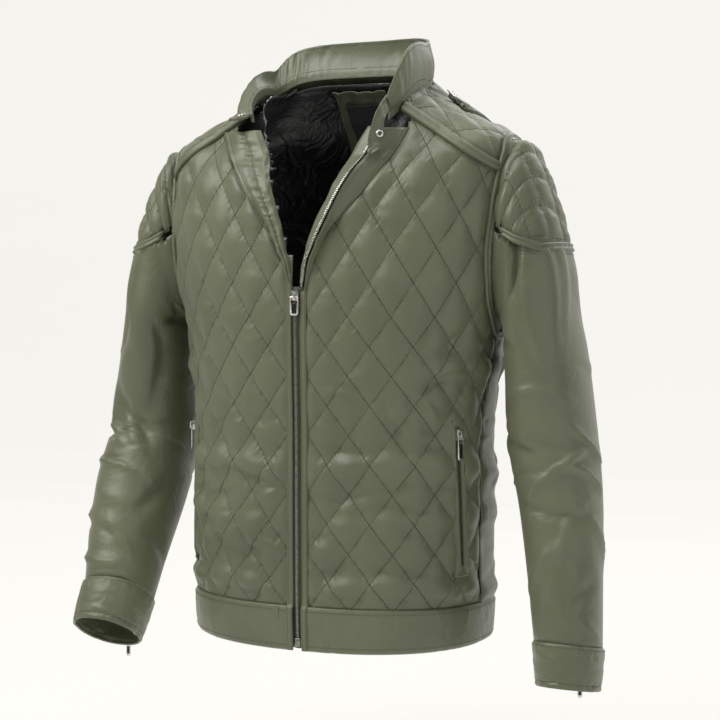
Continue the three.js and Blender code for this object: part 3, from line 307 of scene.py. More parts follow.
def between(chart, row, column):
    """A chart's value between its rows and columns."""
    i = np.clip(np.floor(row).astype(int), 0, chart.shape[0] - 2)
    j = np.clip(np.floor(column).astype(int), 0, chart.shape[1] - 2)
    s, t = np.clip(row - i, 0, 1)[..., None], np.clip(column - j, 0, 1)[..., None]
    return ((chart[i, j] * (1 - s) + chart[i + 1, j] * s) * (1 - t)
            + (chart[i, j + 1] * (1 - s) + chart[i + 1, j + 1] * s) * t)


front_chart, back_chart = chart_of(levels), chart_of(levels[:, ::-1])


def body_form(chart, turned):
    """Lays cut places (along, up) on the body: along runs from the middle line, and is negative past it."""
    def form(flat):
        points = between(chart, (flat[:, 1] - chart_low) / chart_rise, np.abs(flat[:, 0]) / chart_run)
        points[:, 0] *= np.where(flat[:, 0] < 0, -1, 1) * turned
        return points

    return form


front_form, back_form = body_form(front_chart, 1), body_form(back_chart, -1)


# Sewn cloth in general: each piece is cut flat, laid on its form and given its own rise,
# and then its own thickness. Stitches are short threads that follow a line on the form.
def unevenness(across, up, size, seed):
    """A soft random rise between -1 and 1, with bumps of about that size."""
    chart = np.random.default_rng(seed).uniform(-1, 1, (64, 64, 1))
    i, j = np.floor(across / size), np.floor(up / size)
    s, t = across / size - i, up / size - j
    s, t = s * s * (3 - 2 * s), t * t * (3 - 2 * t)
    at = lambda a, b: chart[a.astype(int) % 64, b.astype(int) % 64, 0]
    return ((at(i, j) * (1 - s) + at(i + 1, j) * s) * (1 - t)
            + (at(i, j + 1) * (1 - s) + at(i + 1, j + 1) * s) * t)


def creases(rows, across, up):
    """The sum of creases, each with its place, lean in degrees, length, width and rise in mm."""
    total = np.zeros(len(across))
    for at_across, at_up, lean, length, width, rise in rows:
        cosine, sine = math.cos(math.radians(lean)), math.sin(math.radians(lean))
        along = (across - at_across) * cosine + (up - at_up) * sine
        off = (up - at_up) * cosine - (across - at_across) * sine
        off = off - 0.12 * length * (1 - (2 * along / length) ** 2) * np.sign(rise) * 0.5
        near = np.exp(-(off / np.where(off < 0, 1.7 * width, width)) ** 2)
        total += rise * near * np.exp(-(2 * along / length) ** 4)
    return total


def many_creases(seed, count, low, high, leans, lengths, widths, rises):
    """Seeded creases over an area, for the small folds between the main ones."""
    draw = np.random.default_rng(seed)
    return [(
        draw.uniform(low[0], high[0]), draw.uniform(low[1], high[1]), draw.uniform(*leans),
        draw.uniform(*lengths), draw.uniform(*widths), draw.uniform(*rises) * draw.choice([-1, 1]),
    ) for _ in range(count)]


def normals_of(form, flat, reach=1.0):
    along, up = np.array([reach, 0]), np.array([0, reach])
    cross = np.cross(form(flat + along) - form(flat - along), form(flat + up) - form(flat - up))
    return cross / np.maximum(np.linalg.norm(cross, axis=1, keepdims=True), 1e-9)


cloth_step = 1.17                  # how much wider than its own spacing each piece of cloth is laid


def cut_cloth(name, low, high, spacing, form, rise, *, inside=None, thick=1.6, offset=-1, loop=False, scale=(1, 1)):
    """A piece of cloth cut from low to high in its form's own measures, laid on the form and raised off it."""
    bm = bmesh.new()
    columns = max(2, round((high[0] - low[0]) * scale[0] / spacing[0] / cloth_step))
    rows = max(2, round((high[1] - low[1]) * scale[1] / spacing[1] / cloth_step))
    bmesh.ops.create_grid(bm, x_segments=columns, y_segments=rows, size=0.5)
    mesh = bpy.data.meshes.new(name)
    bm.to_mesh(mesh)
    bm.free()
    share = np.empty(len(mesh.vertices) * 3)
    mesh.vertices.foreach_get("co", share)
    flat = np.array(low) + (share.reshape(-1, 3)[:, :2] + 0.5) * (np.array(high) - np.array(low))
    base = form(flat)
    lift = rise(flat) if callable(rise) else np.full(len(flat), float(rise))
    raised = base + normals_of(form, flat) * lift[:, None]
    keep = np.ones(len(flat), bool) if inside is None else inside(flat, base)
    map_layer = mesh.uv_layers.new(name="cut")
    corners = np.empty(len(mesh.loops), int)
    mesh.loops.foreach_get("vertex_index", corners)
    map_layer.data.foreach_set("uv", (flat[corners] * np.array(scale) * 0.001).astype(np.float32).ravel())
    bm = bmesh.new()
    bm.from_mesh(mesh)
    bm.verts.ensure_lookup_table()
    doomed = [bm.verts[i] for i in np.flatnonzero(~keep)]
    for vert, place in zip(bm.verts, raised * 0.001):
        vert.co = place
    bmesh.ops.delete(bm, geom=doomed, context="VERTS")
    area = sum(face.calc_area() for face in bm.faces)
    grid = raised.reshape(rows + 1, columns + 1, 3) * 0.001
    kept = keep.reshape(rows + 1, columns + 1)
    step_across = np.linalg.norm(np.diff(grid, axis=1), axis=2)[kept[:, 1:] & kept[:, :-1]].mean()
    step_up = np.linalg.norm(np.diff(grid, axis=0), axis=2)[kept[1:] & kept[:-1]].mean()
    width = float(step_across * np.ptp(np.flatnonzero(kept.any(axis=0))))
    length = float(step_up * np.ptp(np.flatnonzero(kept.any(axis=1))))
    if loop:
        bmesh.ops.remove_doubles(bm, verts=[v for v in bm.verts if v.is_boundary], dist=2e-5)
    for face in bm.faces:
        face.smooth = True
    bm.to_mesh(mesh)
    bm.free()
    piece = bpy.data.objects.new(f"{name}_cloth", mesh)
    bpy.context.scene.collection.objects.link(piece)
    if thick:
        body = piece.modifiers.new("thickness", "SOLIDIFY")
        body.thickness, body.offset = thick * 0.001, offset
    piece["cut_area"] = area
    width = max(width, 0.0101)
    piece["cut_size"] = (width, max(length, area / width, 0.0101))
    return piece


def sewn(piece, material, slot, *nodes, held="draped", rests_on=()):
    """Gives a piece its material, hangs it on the jacket's body and hides the parts it replaces."""
    piece.data.materials.append(material)
    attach(piece, "jacket")
    if nodes:
        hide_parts(*nodes)
    return piece


def thread_shape():
    """One stitch: a short plump thread, lying along X."""
    bm = bmesh.new()
    bmesh.ops.create_icosphere(bm, subdivisions=1, radius=0.5)
    points = np.array([v.co for v in bm.verts])
    faces = np.array([[v.index for v in face.verts] for face in bm.faces])
    bm.free()
    return points, faces


thread_points, thread_faces = thread_shape()


def strewn(name, points, faces, frames):
    """One mesh of many copies of a small shape. Each frame is its centre and three scaled axes, in mm."""
    frames = np.asarray(frames, float)
    placed = np.einsum("pk,nkd->npd", points, frames[:, 1:]) + frames[:, :1]
    count = len(points)
    mesh = bpy.data.meshes.new(name)
    mesh.from_pydata((placed * 0.001).reshape(-1, 3).tolist(), [],
                     (faces[None] + count * np.arange(len(frames))[:, None, None]).reshape(-1, faces.shape[1]).tolist())
    mesh.polygons.foreach_set("use_smooth", [True] * len(mesh.polygons))
    piece = bpy.data.objects.new(name, mesh)
    bpy.context.scene.collection.objects.link(piece)
    return piece


def stitches(form, line, rise=0.4, long=2.6, pitch=3.6, wide=0.75, start=0.0):
    """Frames of the stitches along a line of cut places on a form."""
    line = np.asarray(line, float)
    points = form(line)
    lengths = np.concatenate([[0], np.cumsum(np.linalg.norm(np.diff(points, axis=0), axis=1))])
    wanted = np.arange(pitch / 2 + start, lengths[-1] - pitch / 2, pitch)
    if len(wanted) == 0:
        return np.empty((0, 4, 3))
    places = np.stack([np.interp(wanted, lengths, line[:, k]) for k in range(2)], -1)
    ahead = np.stack([np.interp(wanted + 1, lengths, line[:, k]) for k in range(2)], -1)
    lift = rise(places)[:, None] if callable(rise) else rise
    up = normals_of(form, places)
    at = form(places) + up * lift
    run = form(ahead) - form(places)
    run /= np.maximum(np.linalg.norm(run, axis=1, keepdims=True), 1e-9)
    side = np.cross(up, run)
    return np.stack([at, run * long, side * wide, up * wide], 1)


# The cloth: olive nylon, closely woven and calendered to a soft gloss. Quilted pieces carry thin filling,
# and the thread draws small gathers into the cloth on both sides of each stitched line. The colour is mottled at
# random, and on quilted cloth it is darkened along the stitched lines as painted shade.
def nylon(name, light, dark, crinkle, quilted=False, roughness=0.46):
    material, shade, shader = new_material(
        name, Sheen_Weight=0.12, Sheen_Roughness=0.45, Coat_Roughness=0.35, Specular_IOR_Level=0.5)
    place = shade.make("ShaderNodeTexCoord", out="Object")
    clouds = shade.make("ShaderNodeTexNoise", None, {"Vector": place, "Scale": 7.0, "Detail": 3.0})
    folds = shade.make("ShaderNodeTexNoise", None, {
        "Vector": place, "Scale": 38.0, "Detail": 5.0, "Roughness": 0.55, "Distortion": 0.7})
    weave = shade.make("ShaderNodeTexNoise", None, {"Vector": place, "Scale": 1500.0, "Detail": 1.0})
    ridged = 1 - shade.math("ABSOLUTE", folds * 2 - 1)
    height = ridged * crinkle + weave * 0.02
    # Colour: a random mottle from the clouds, plus painted shade along the quilting's stitched lines (below).
    mottle_and_painted_groove_shade = clouds * 1.0
    if quilted:
        chart = shade.make("ShaderNodeUVMap", {"uv_map": "quilt"})
        lines = shade.make("ShaderNodeSeparateXYZ", None, {0: chart})
        a = lines
        b = Shade(shade.tree, lines.socket.node.outputs[1])
        near_a, near_b = a.math("PINGPONG", a, 0.5), b.math("PINGPONG", b, 0.5)
        for near, along, across in ((near_a, b, a), (near_b, a, b)):
            vector = shade.make("ShaderNodeCombineXYZ", None, {0: along * 7.5, 1: across * 1.6})
            gathers = shade.make("ShaderNodeTexNoise", None, {
                "Vector": vector, "Scale": 1.0, "Detail": 2.0, "Distortion": 0.25})
            fade = (1 - (near / 0.3).math("MINIMUM", near / 0.3, 1.0)) ** 1.6
            height = height + (gathers - 0.5) * fade * 2.4
            groove = (1 - (near / 0.03).math("MINIMUM", near / 0.03, 1.0)) ** 2
            height = height - groove * 0.7
            # Painted shade: the colour darkens in each stitched groove, where shade falls.
            mottle_and_painted_groove_shade = mottle_and_painted_groove_shade - groove * 0.35
    tone = shade.make("ShaderNodeValToRGB", {"stops": [(0.3, dark), (0.72, light)]}, {0: mottle_and_painted_groove_shade})
    dull = shade.make("ShaderNodeMapRange", None, {
        "Value": clouds, "From Min": 0.3, "From Max": 0.7, "To Min": roughness - 0.05, "To Max": roughness + 0.06})
    bump = shade.make("ShaderNodeBump", None, {"Strength": 1.0, "Distance": 0.001, "Height": height})
    wire(shade, shader, Base_Color=tone, Roughness=dull, Normal=bump)
    return material


olive_light, olive_dark = (0.138, 0.150, 0.088, 1), (0.098, 0.107, 0.061, 1)
quilted_nylon = nylon("quilted_nylon", olive_light, olive_dark, 0.35, quilted=True)
plain_nylon = nylon("plain_nylon", olive_light, olive_dark, 0.9, roughness=0.43)
trim_nylon = nylon("trim_nylon", olive_light, olive_dark, 0.5, roughness=0.44)

thread_material, shade, shader = new_material("thread", Roughness=0.6)
place = shade.make("ShaderNodeTexCoord", out="Object")
twist = shade.make("ShaderNodeTexNoise", None, {"Vector": place, "Scale": 900.0})
wire(shade, shader, Base_Color=shade.make("ShaderNodeValToRGB", {"stops": [
    (0.3, (0.05, 0.058, 0.032, 1)), (0.7, (0.085, 0.095, 0.055, 1))]}, {0: twist}))


def thread(name, frames, material=thread_material):
    piece = strewn(name, thread_points, thread_faces, np.concatenate(frames))
    piece.data.materials.append(material)
    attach(piece, "jacket")
    return piece


# Edges of the body's pieces: the V of the open fronts, the armholes, the yoke seams and the side seams.
placket_edge, tape_edge = 12, 4.6
armhole_at, slash_rise, tip_height, armhole_centre, welt_wide = 214, 0.081, -58, -166, 8
armhole_x = lambda z: armhole_at + slash_rise * (z - tip_height)
yoke_front = lambda x: -33 - 0.64 * (x - 107)
yoke_back = lambda x: 28 - 1.12 * (x - 98)

# columns: height, then how far the quilting, the rolled edge, the turned flap and the crest lie from the middle
opening = np.array([
    (-240, 12, 4.8, 7, 9), (-208, 13, 9, 16, 16), (-195, 19, 13, 23, 22), (-168, 38, 21, 38, 34),
    (-126, 74, 38, 70, 52), (-76, 104, 57, 110, 77), (-52, 112, 70, 124, 90),
])
opening_at = smooth(opening[:, 0], opening)
quilt_edge = lambda z: np.where(z < -240, placket_edge, opening_at(z)[..., 1])
crest_edge = lambda z: np.where(z < -240, tape_edge, np.maximum(tape_edge, opening_at(z)[..., 4]))

armhole_turns = np.radians(np.arange(0, 361, 5))
low, high = np.full(73, 5.0), np.full(73, 160.0)
for _ in range(26):
    middle = (low + high) / 2
    y, z = -middle * np.sin(armhole_turns), armhole_centre + middle * np.cos(armhole_turns)
    inside_body = side_reach(y, z) < armhole_x(z)
    high, low = np.where(inside_body, middle, high), np.where(inside_body, low, middle)
armhole_reach = (low + high) / 2
reach_at = lambda turn: np.interp(np.mod(turn, 2 * np.pi), armhole_turns, armhole_reach)


def past_armhole(points):
    """How far points lie outside the armhole's edge, in the side view."""
    y, z = points[:, 1], points[:, 2] - armhole_centre
    away = np.hypot(y, z) - reach_at(np.arctan2(-y, z))
    return np.where(np.abs(points[:, 0]) < 120, 400, away)


neck_turns = np.linspace(-math.pi / 2, math.pi / 2, 60)
neck_line = on_body(np.full(60, ring_places[neck_ring]), neck_turns)
under_neck = lambda points: np.interp(points[:, 1], neck_line[:, 1], neck_line[:, 2]) - points[:, 2]
front_seam = lambda z: np.interp(z, (-700, -420, -285, -240), (-24, -22, -8, -6))
back_seam = lambda z: np.interp(z, (-700, -420, -285, -240), (46, 44, 18, 14))


# Quilting: two sets of stitched lines cross in diamonds, taller above the chest, with the filling between.
quilt_wide, quilt_tall, chest_line, chest_stretch, puff = 50, 67.6, -270, 1.16, 4.6


def diamonds(start):
    def lattice(flat):
        across = (np.abs(flat[:, 0]) - start) / quilt_wide
        above = np.maximum(flat[:, 1] - chest_line, 0)
        up = (flat[:, 1] + 608 - above * (1 - 1 / chest_stretch)) / quilt_tall
        return np.stack([across + up, across - up], -1)

    return lattice


def pillows(lattice, flat, seed, fill=puff):
    """The filled cloth between its stitched lines, each pillow a little different, gathered along its edges."""
    a, b = lattice[:, 0], lattice[:, 1]
    full = 1 + 0.28 * unevenness(flat[:, 0], flat[:, 1], 34, seed)
    near_a, near_b = np.abs(a - np.round(a)), np.abs(b - np.round(b))
    dome = (np.sin(np.pi * near_a) * np.sin(np.pi * near_b)) ** 0.62
    gathers = (unevenness(b * 42, a * 42 * 0.22, 5.5, seed + 1) * np.clip(1 - near_a / 0.3, 0, 1) ** 1.3
               + unevenness(a * 42, b * 42 * 0.22, 5.5, seed + 2) * np.clip(1 - near_b / 0.3, 0, 1) ** 1.3)
    slack = unevenness(flat[:, 0] + flat[:, 1] * 0.3, flat[:, 1] * 1.8, 15, seed + 3)
    return fill * dome * full + (0.75 * gathers + 0.5 * slack) * np.clip(dome * 3, 0, 1) - 0.4


# columns: height, half height, rise, and where round the body from the middle line they fade
fold_rows = [
    (-447, 22, 5.5, 0, 240), (-505, 20, 4.5, 20, 260), (-535, 18, 4, 0, 150), (-585, 15, 5, 10, 260),
    (-320, 18, 3.5, 110, 260), (-390, 20, 3, 60, 200),
]


def waist_folds(around, z):
    total = np.zeros(len(z))
    for height, reach, rise, start, end in fold_rows:
        bow = height + 8 * np.sin(around / 45 + height)
        across = np.maximum(0, 1 - ((z - bow) / reach) ** 2)
        total += rise * across ** 2 * np.clip((around - start) / 30, 0, 1) * np.clip((end - around) / 30, 0, 1)
    return total


pinched = lambda distance, wide=9.0: np.clip(distance / wide, 0, 1) ** 0.55


def with_lattice(piece, lattice, slot_name="quilt"):
    """Writes a piece's quilting chart as a map of its own."""
    cut = np.empty(len(piece.data.loops) * 2)
    piece.data.uv_layers["cut"].data.foreach_get("uv", cut)
    chart = lattice(cut.reshape(-1, 2) * 1000)
    piece.data.uv_layers.new(name=slot_name).data.foreach_set("uv", chart.astype(np.float32).ravel())
    return piece


# The two fronts: quilted nylon over thin filling, sewn to the yoke, the armhole, the side and the hem band.
front_quilt = diamonds(placket_edge)
pocket_top, pocket_foot = -394, -562
pocket_middle = lambda z: -66 + 8 * (pocket_top - z) / (pocket_top - pocket_foot)
front_creases = {
    1: [(118, -394, -62, 60, 5, -4.5), (150, -372, -58, 46, 5, 3), (60, -470, 8, 90, 5, -3.4),
        (140, -488, -6, 80, 5, -3.4), (40, -560, 5, 60, 5, -3), (110, -556, -8, 80, 5, -2.6),
        (176, -300, 40, 70, 6, -4), (188, -330, 25, 60, 5, -3.4), (60, -420, -12, 60, 5, -2.4)],
    -1: [(-60, -455, -10, 90, 5, -3.2), (-120, -478, 6, 80, 5, -3), (-150, -420, -32, 70, 6, -3.2),
         (-70, -540, 8, 80, 5, -2.8), (-176, -300, -40, 70, 6, -4), (-140, -570, -5, 70, 5, -2.6)],
}


def front_inside(flat, base):
    x = np.abs(base[:, 0])
    in_pocket = (np.abs(base[:, 1] - pocket_middle(base[:, 2])) < 4) & (np.abs(base[:, 2] + 478) < 83) & (x > 100)
    return ((x > quilt_edge(base[:, 2]) - 2.5) & (base[:, 2] < yoke_front(x) - 2.5) & (past_armhole(base) > 5)
            & (base[:, 1] < front_seam(base[:, 2]) + 1) & (under_neck(base) > -2) & ~in_pocket)


for side, name in ((1, "front_left"), (-1, "front_right")):
    small = many_creases(11 + side, 34, (min(side * 20, side * 220), -600), (max(side * 20, side * 220), -330),
                         (-28, 28), (30, 70), (3, 5), (0.8, 1.8))

    def front_rise(flat, side=side, small=small):
        base = front_form(flat)
        x = np.abs(base[:, 0])
        seam = (pinched(x - quilt_edge(base[:, 2])) * pinched(yoke_front(x) - 5 - base[:, 2])
                * pinched(past_armhole(base) - welt_wide) * pinched(front_seam(base[:, 2]) - base[:, 1])
                * pinched(base[:, 2] - band_top, 12))
        rise = pillows(front_quilt(flat), flat, 20 + side) + waist_folds(x, base[:, 2])
        rise += creases(front_creases[side] + small, flat[:, 0], flat[:, 1])
        return rise * seam

    low, high = (side * 8, band_top - 3), (side * 290, -24)
    panel = cut_cloth(name, (min(low[0], high[0]), low[1]), (max(low[0], high[0]), high[1]), (2.3, 2.3),
                      front_form, front_rise, inside=front_inside, thick=1.6)
    with_lattice(panel, front_quilt)
    sewn(panel, quilted_nylon, "quilted_cloth", name, rests_on=["lining"])

    frames = []
    for family in (1, -1):
        for k in range(-14, 22):
            along = np.linspace(0, 300, 240)
            up = (k - (along - placket_edge) / quilt_wide * family) * quilt_tall * family
            up = np.where(up > 338, 338 + (up - 338) * chest_stretch, up) - 608
            line = np.stack([side * along, up], -1)
            base = front_form(line)
            good = front_inside(line, base) & (base[:, 2] > band_top) & (base[:, 2] < -26)
            good &= (np.abs(base[:, 0]) > quilt_edge(base[:, 2]) + 2) & (past_armhole(base) > welt_wide)
            for run in np.split(np.arange(len(line)), np.flatnonzero(np.diff(good.astype(int))) + 1):
                if len(run) > 3 and good[run[0]]:
                    frames.append(stitches(front_form, line[run], rise=lambda f, r=front_rise: r(f) + 0.25))
    thread(f"quilting_thread_{name}", frames)


# The back: one wide quilted panel, laid and stitched as the fronts are.
back_quilt = diamonds(0)
back_creases = [(-60, -450, 8, 120, 6, -3), (70, -462, -7, 110, 6, -3), (0, -540, 3, 150, 6, -2.8),
                (150, -420, 28, 80, 6, -3.2), (-150, -424, -28, 80, 6, -3.2), (175, -250, -55, 90, 7, -3.5),
                (-175, -250, 55, 90, 7, -3.5)]
back_creases += many_creases(31, 40, (-190, -600), (190, -340), (-24, 24), (40, 90), (3.5, 6), (0.8, 1.8))


def back_inside(flat, base):
    x = np.abs(base[:, 0])
    under_yoke = np.where(x < 130, 4.5, -2.5)
    return ((base[:, 2] < yoke_back(x) + under_yoke) & (past_armhole(base) > 5) & (under_neck(base) > -2)
            & ((base[:, 1] > back_seam(base[:, 2]) - 1) | ((base[:, 2] > -120) & (base[:, 1] > -1))))


def back_rise(flat):
    base = back_form(flat)
    x = np.abs(base[:, 0])
    seam = (pinched(yoke_back(x) - 5 - base[:, 2]) * pinched(past_armhole(base) - welt_wide)
            * pinched(base[:, 1] - back_seam(base[:, 2])) * pinched(base[:, 2] - band_top, 12))
    rise = pillows(back_quilt(flat), flat, 40) + waist_folds(np.abs(flat[:, 0]) + 12, base[:, 2])
    return (rise + creases(back_creases, flat[:, 0], flat[:, 1])) * seam


back = cut_cloth("back", (-290, band_top - 3), (290, 46), (2.9, 2.9), back_form, back_rise, inside=back_inside)
with_lattice(back, back_quilt)
sewn(back, quilted_nylon, "quilted_cloth", "back", rests_on=["lining"])
frames = []
for side in (1, -1):
    for family in (1, -1):
        for k in range(-14, 24):
            along = np.linspace(0, 300, 200)
            up = (k - along / quilt_wide * family) * quilt_tall * family
            up = np.where(up > 338, 338 + (up - 338) * chest_stretch, up) - 608
            line = np.stack([side * along, up], -1)
            base = back_form(line)
            good = back_inside(line, base) & (base[:, 2] > band_top) & (past_armhole(base) > welt_wide)
            for run in np.split(np.arange(len(line)), np.flatnonzero(np.diff(good.astype(int))) + 1):
                if len(run) > 3 and good[run[0]]:
                    frames.append(stitches(back_form, line[run], rise=lambda f: back_rise(f) + 0.25))
thread("quilting_thread_back", frames)


# Plain side panels between the fronts and the back, lapped over both.
def side_form(turned):
    def form(flat):
        y = flat[:, 0] * turned
        return np.stack([turned * side_reach(y, flat[:, 1]), y, flat[:, 1]], -1)

    return form


side_creases = many_creases(51, 26, (-30, -600), (50, -260), (-25, 25), (30, 70), (3, 6), (0.8, 2.2))
for turned, name in ((1, "side_panel_left"), (-1, "side_panel_right")):
    form = side_form(turned)

    def side_rise(flat, turned=turned):
        y = flat[:, 0] * turned
        edge = np.minimum(y - front_seam(flat[:, 1]), back_seam(flat[:, 1]) - y) + 2.5
        fold = waist_folds(np.full(len(flat), 225.0), flat[:, 1]) + creases(side_creases, y, flat[:, 1])
        return 1.0 + 1.6 * pinched(edge, 6) + fold * pinched(edge, 14)

    def side_inside(flat, base):
        return ((base[:, 1] > front_seam(base[:, 2]) - 2) & (base[:, 1] < back_seam(base[:, 2]) + 2)
                & (past_armhole(base) > 5))

    panel = cut_cloth(name, (-30 if turned > 0 else -52, band_top - 3), (52 if turned > 0 else 30, -230), (2.0, 2.6),
                      form, side_rise, inside=side_inside, thick=1.6)
    sewn(panel, plain_nylon, "plain_cloth", name, rests_on=["lining"])


# Shoulder yokes: softly quilted pieces over the tops of the shoulders, charted from the neck outwards.
yoke_xs, yoke_step = np.arange(96, 219, 2.0), 2.0
yoke_chart = []
for x in yoke_xs:
    crest = np.interp(-x, -body_rings[9:neck_ring + 1, 3], ring_places[9:neck_ring + 1])
    for _ in range(3):
        near = np.linspace(ring_places[9], ring_places[neck_ring] + 20, 900)
        crest = near[np.argmax(ring_at(near)[:, 3] < x)] if (ring_at(near)[:, 3] < x).any() else near[-1]
    places = np.linspace(crest, ring_places[8], 60)
    ring = np.moveaxis(ring_at(places), -1, 0)
    share = (1 - np.clip(x / ring[3], 0, 1) ** ring[6]) ** (1 / ring[6])
    halves = []
    for side in (-1, 1):
        y = side * share * (ring[4] if side < 0 else ring[5])
        z = ring[0] + ((ring[1] if side < 0 else ring[2]) - ring[0]) * share ** ring_dip
        line = np.stack([np.full(60, x), y, z], -1)
        lengths = np.concatenate([[0], np.cumsum(np.linalg.norm(np.diff(line, axis=0), axis=1))])
        wanted = np.arange(0, 151, yoke_step)
        halves.append(np.stack([np.interp(wanted, lengths, line[:, k]) for k in range(3)], -1))
    yoke_chart.append(np.concatenate([halves[0][:0:-1], halves[1]]))
yoke_chart = np.array(yoke_chart)


def yoke_form(turned):
    """Places are how far out from the neck, and how far behind the shoulder's crest."""
    def form(flat):
        points = between(yoke_chart, (flat[:, 0] * turned - yoke_xs[0]) / yoke_step,
                         (flat[:, 1] + 150) / yoke_step)
        points[:, 0] *= turned
        return points

    return form


def yoke_quilt(flat):
    row, column = (215 - np.abs(flat[:, 0])) / 12.94, flat[:, 1] / 13 + 9
    return np.stack([(column + row) / 4, (column - row) / 4], -1)


def yoke_inside(flat, base):
    x = np.abs(base[:, 0])
    line = np.where(base[:, 1] < 0, yoke_front(x), yoke_back(x))
    return (base[:, 2] > line + 2.5) & (past_armhole(base) > 5) & (under_neck(base) > -2)


def yoke_rise(flat, base):
    x = np.abs(base[:, 0])
    line = np.where(base[:, 1] < 0, yoke_front(x), yoke_back(x)) + 5
    seam = pinched(base[:, 2] - line) * pinched(past_armhole(base) - welt_wide) * pinched(x - 98, 6)
    return pillows(yoke_quilt(flat), flat, 60, fill=3.4) * seam


for turned, side in ((1, "left"), (-1, "right")):
    form = yoke_form(turned)
    panel = cut_cloth(f"yoke_{side}", (97 if turned > 0 else -216, -118), (216 if turned > 0 else -97, 118),
                      (2.0, 2.0), form, lambda f, form=form: yoke_rise(f, form(f)), inside=yoke_inside, thick=1.6)
    with_lattice(panel, yoke_quilt)
    sewn(panel, quilted_nylon, "quilted_cloth", f"yoke_{side}", rests_on=["lining"])
    frames = []
    for family in (1, -1):
        for k in range(-12, 24):
            x = np.linspace(98, 215, 120)
            row = (215 - x) / 12.94
            line = np.stack([turned * x, (4 * k - family * row - 9) * 13], -1)
            base = form(line)
            good = yoke_inside(line, base) & (np.abs(line[:, 1]) < 118)
            for run in np.split(np.arange(len(line)), np.flatnonzero(np.diff(good.astype(int))) + 1):
                if len(run) > 4 and good[run[0]]:
                    frames.append(stitches(form, line[run], rise=lambda f, form=form: yoke_rise(f, form(f)) + 0.25))
    thread(f"quilting_thread_yoke_{side}", frames)


# Double welts: cloth folded over two cords and stitched between them, over the yoke seams and round the armholes.
def face_strip(line, turned, side):
    """Places are across the body in the front view, and up from a seam line."""
    def form(flat):
        x = np.abs(flat[:, 0])
        points = face_point(x, line(x) + flat[:, 1], side)
        points[:, 0] = flat[:, 0] * (1 if side < 0 else -1)
        return points

    return form


def corded(across, half, rise=3.2, low=2.0):
    """Two cords side by side, each with its own roll, and a groove between them."""
    share = np.clip(np.abs(across) / half, 0, 1)
    return low + rise * np.sqrt(np.clip(1 - (2 * share - 1) ** 2, 0, 1)) - 1.4 * (share > 0.97)


def armhole_form(turned):
    def form(flat):
        turn, out = -flat[:, 0] / 100 * turned, flat[:, 1]
        reach = reach_at(turn) + out
        y, z = -reach * np.sin(turn), armhole_centre + reach * np.cos(turn)
        return np.stack([turned * np.maximum(side_reach(y, z), armhole_x(z) * 0 + 60), y, z], -1)

    return form


for turned, side in ((1, "left"), (-1, "right")):
    frames = []
    for label, line, face, reach in (("yoke_welt", yoke_front, -1, (98, 216)), ("back_yoke_welt", yoke_back, 1, (130, 208))):
        form = face_strip(line, turned, face)
        sign = turned if face < 0 else -turned
        span = sorted((sign * reach[0], sign * reach[1]))
        strip = cut_cloth(
            f"{label}_{side}", (span[0], -6), (span[1], 6), (1.8, 0.9), form,
            lambda f: corded(f[:, 1], 6) + 0.35 * unevenness(f[:, 0], f[:, 1], 5, 71),
            inside=lambda flat, base: (past_armhole(base) > 3) & (under_neck(base) > -3), thick=1.4)
        sewn(strip, trim_nylon, "plain_cloth", f"{label}_{side}", rests_on=[f"yoke_{side}"])
        for at_up in (0.0, -9.5, 9.5):
            path = np.stack([np.linspace(span[0] + 4, span[1] - 4, 60), np.full(60, at_up)], -1)
            base = form(path)
            path = path[(past_armhole(base) > welt_wide) & (under_neck(base) > 2)]
            if len(path) > 4:
                frames.append(stitches(form, path, rise=2.3))
    form = armhole_form(turned)
    strip = cut_cloth(
        f"armhole_welt_{side}", (0, -0.5), (628.3, 9.5), (1.0, 0.9), form,
        lambda f: corded(f[:, 1] - 4.5, 5) + 0.4 * unevenness(f[:, 0] * 1.2, f[:, 1], 6, 73),
        loop=True, thick=1.4)
    sewn(strip, trim_nylon, "plain_cloth", f"armhole_welt_{side}", rests_on=[f"yoke_{side}"])
    ring = np.linspace(0, 628.3, 260)
    frames += [stitches(form, np.stack([ring, np.full(260, out)], -1), rise=rise) for out, rise in ((4.5, 2.3), (12.5, 1.4))]
    thread(f"welt_thread_{side}", frames)


# Hem band: a doubled plain strip round the hem, gathered where it meets the quilting, open at the zip.
def band_form(flat):
    """Places are round the hem from the back, and up from its bottom edge."""
    turn = math.pi / 2 + flat[:, 0] / 175
    hem = on_body(np.full(len(flat), hem_bottom + 660.0), turn)[:, 2]
    z = hem + (band_top - hem) * flat[:, 1] / 48
    return on_body(narrowed(lambda p: on_body(p, turn)[..., 2] > z, z.shape, high=200), turn)


band_reach = 175 * math.pi - 5.2
band_creases = many_creases(81, 90, (-band_reach, 4), (band_reach, 46), (60, 120), (14, 34), (2.2, 4), (0.3, 1.0))
band_creases += many_creases(82, 60, (-band_reach, 36), (band_reach, 48), (75, 105), (8, 16), (1.6, 2.6), (0.4, 1.0))


def band_rise(flat):
    up = flat[:, 1]
    roll = np.sqrt(np.clip(1 - (np.clip((6 - up) / 6, 0, 1)) ** 2, 0, 1))
    body = 1.6 + 3.4 * roll * pinched(49 - up, 7)
    return body + creases(band_creases, flat[:, 0], up) * pinched(49 - up, 5) * 0.9


band = cut_cloth("hem_band", (-band_reach, 0), (band_reach, 48.5), (2.4, 1.6), band_form, band_rise, thick=2.4)
sewn(band, plain_nylon, "plain_cloth", "hem_band", rests_on=["lining"])
run = np.linspace(-band_reach + 2, band_reach - 2, 420)
thread("band_thread", [stitches(band_form, np.stack([run, np.full(420, up)], -1), rise=lambda f: band_rise(f) + 0.2)
                       for up in (6.5, 43.5)])


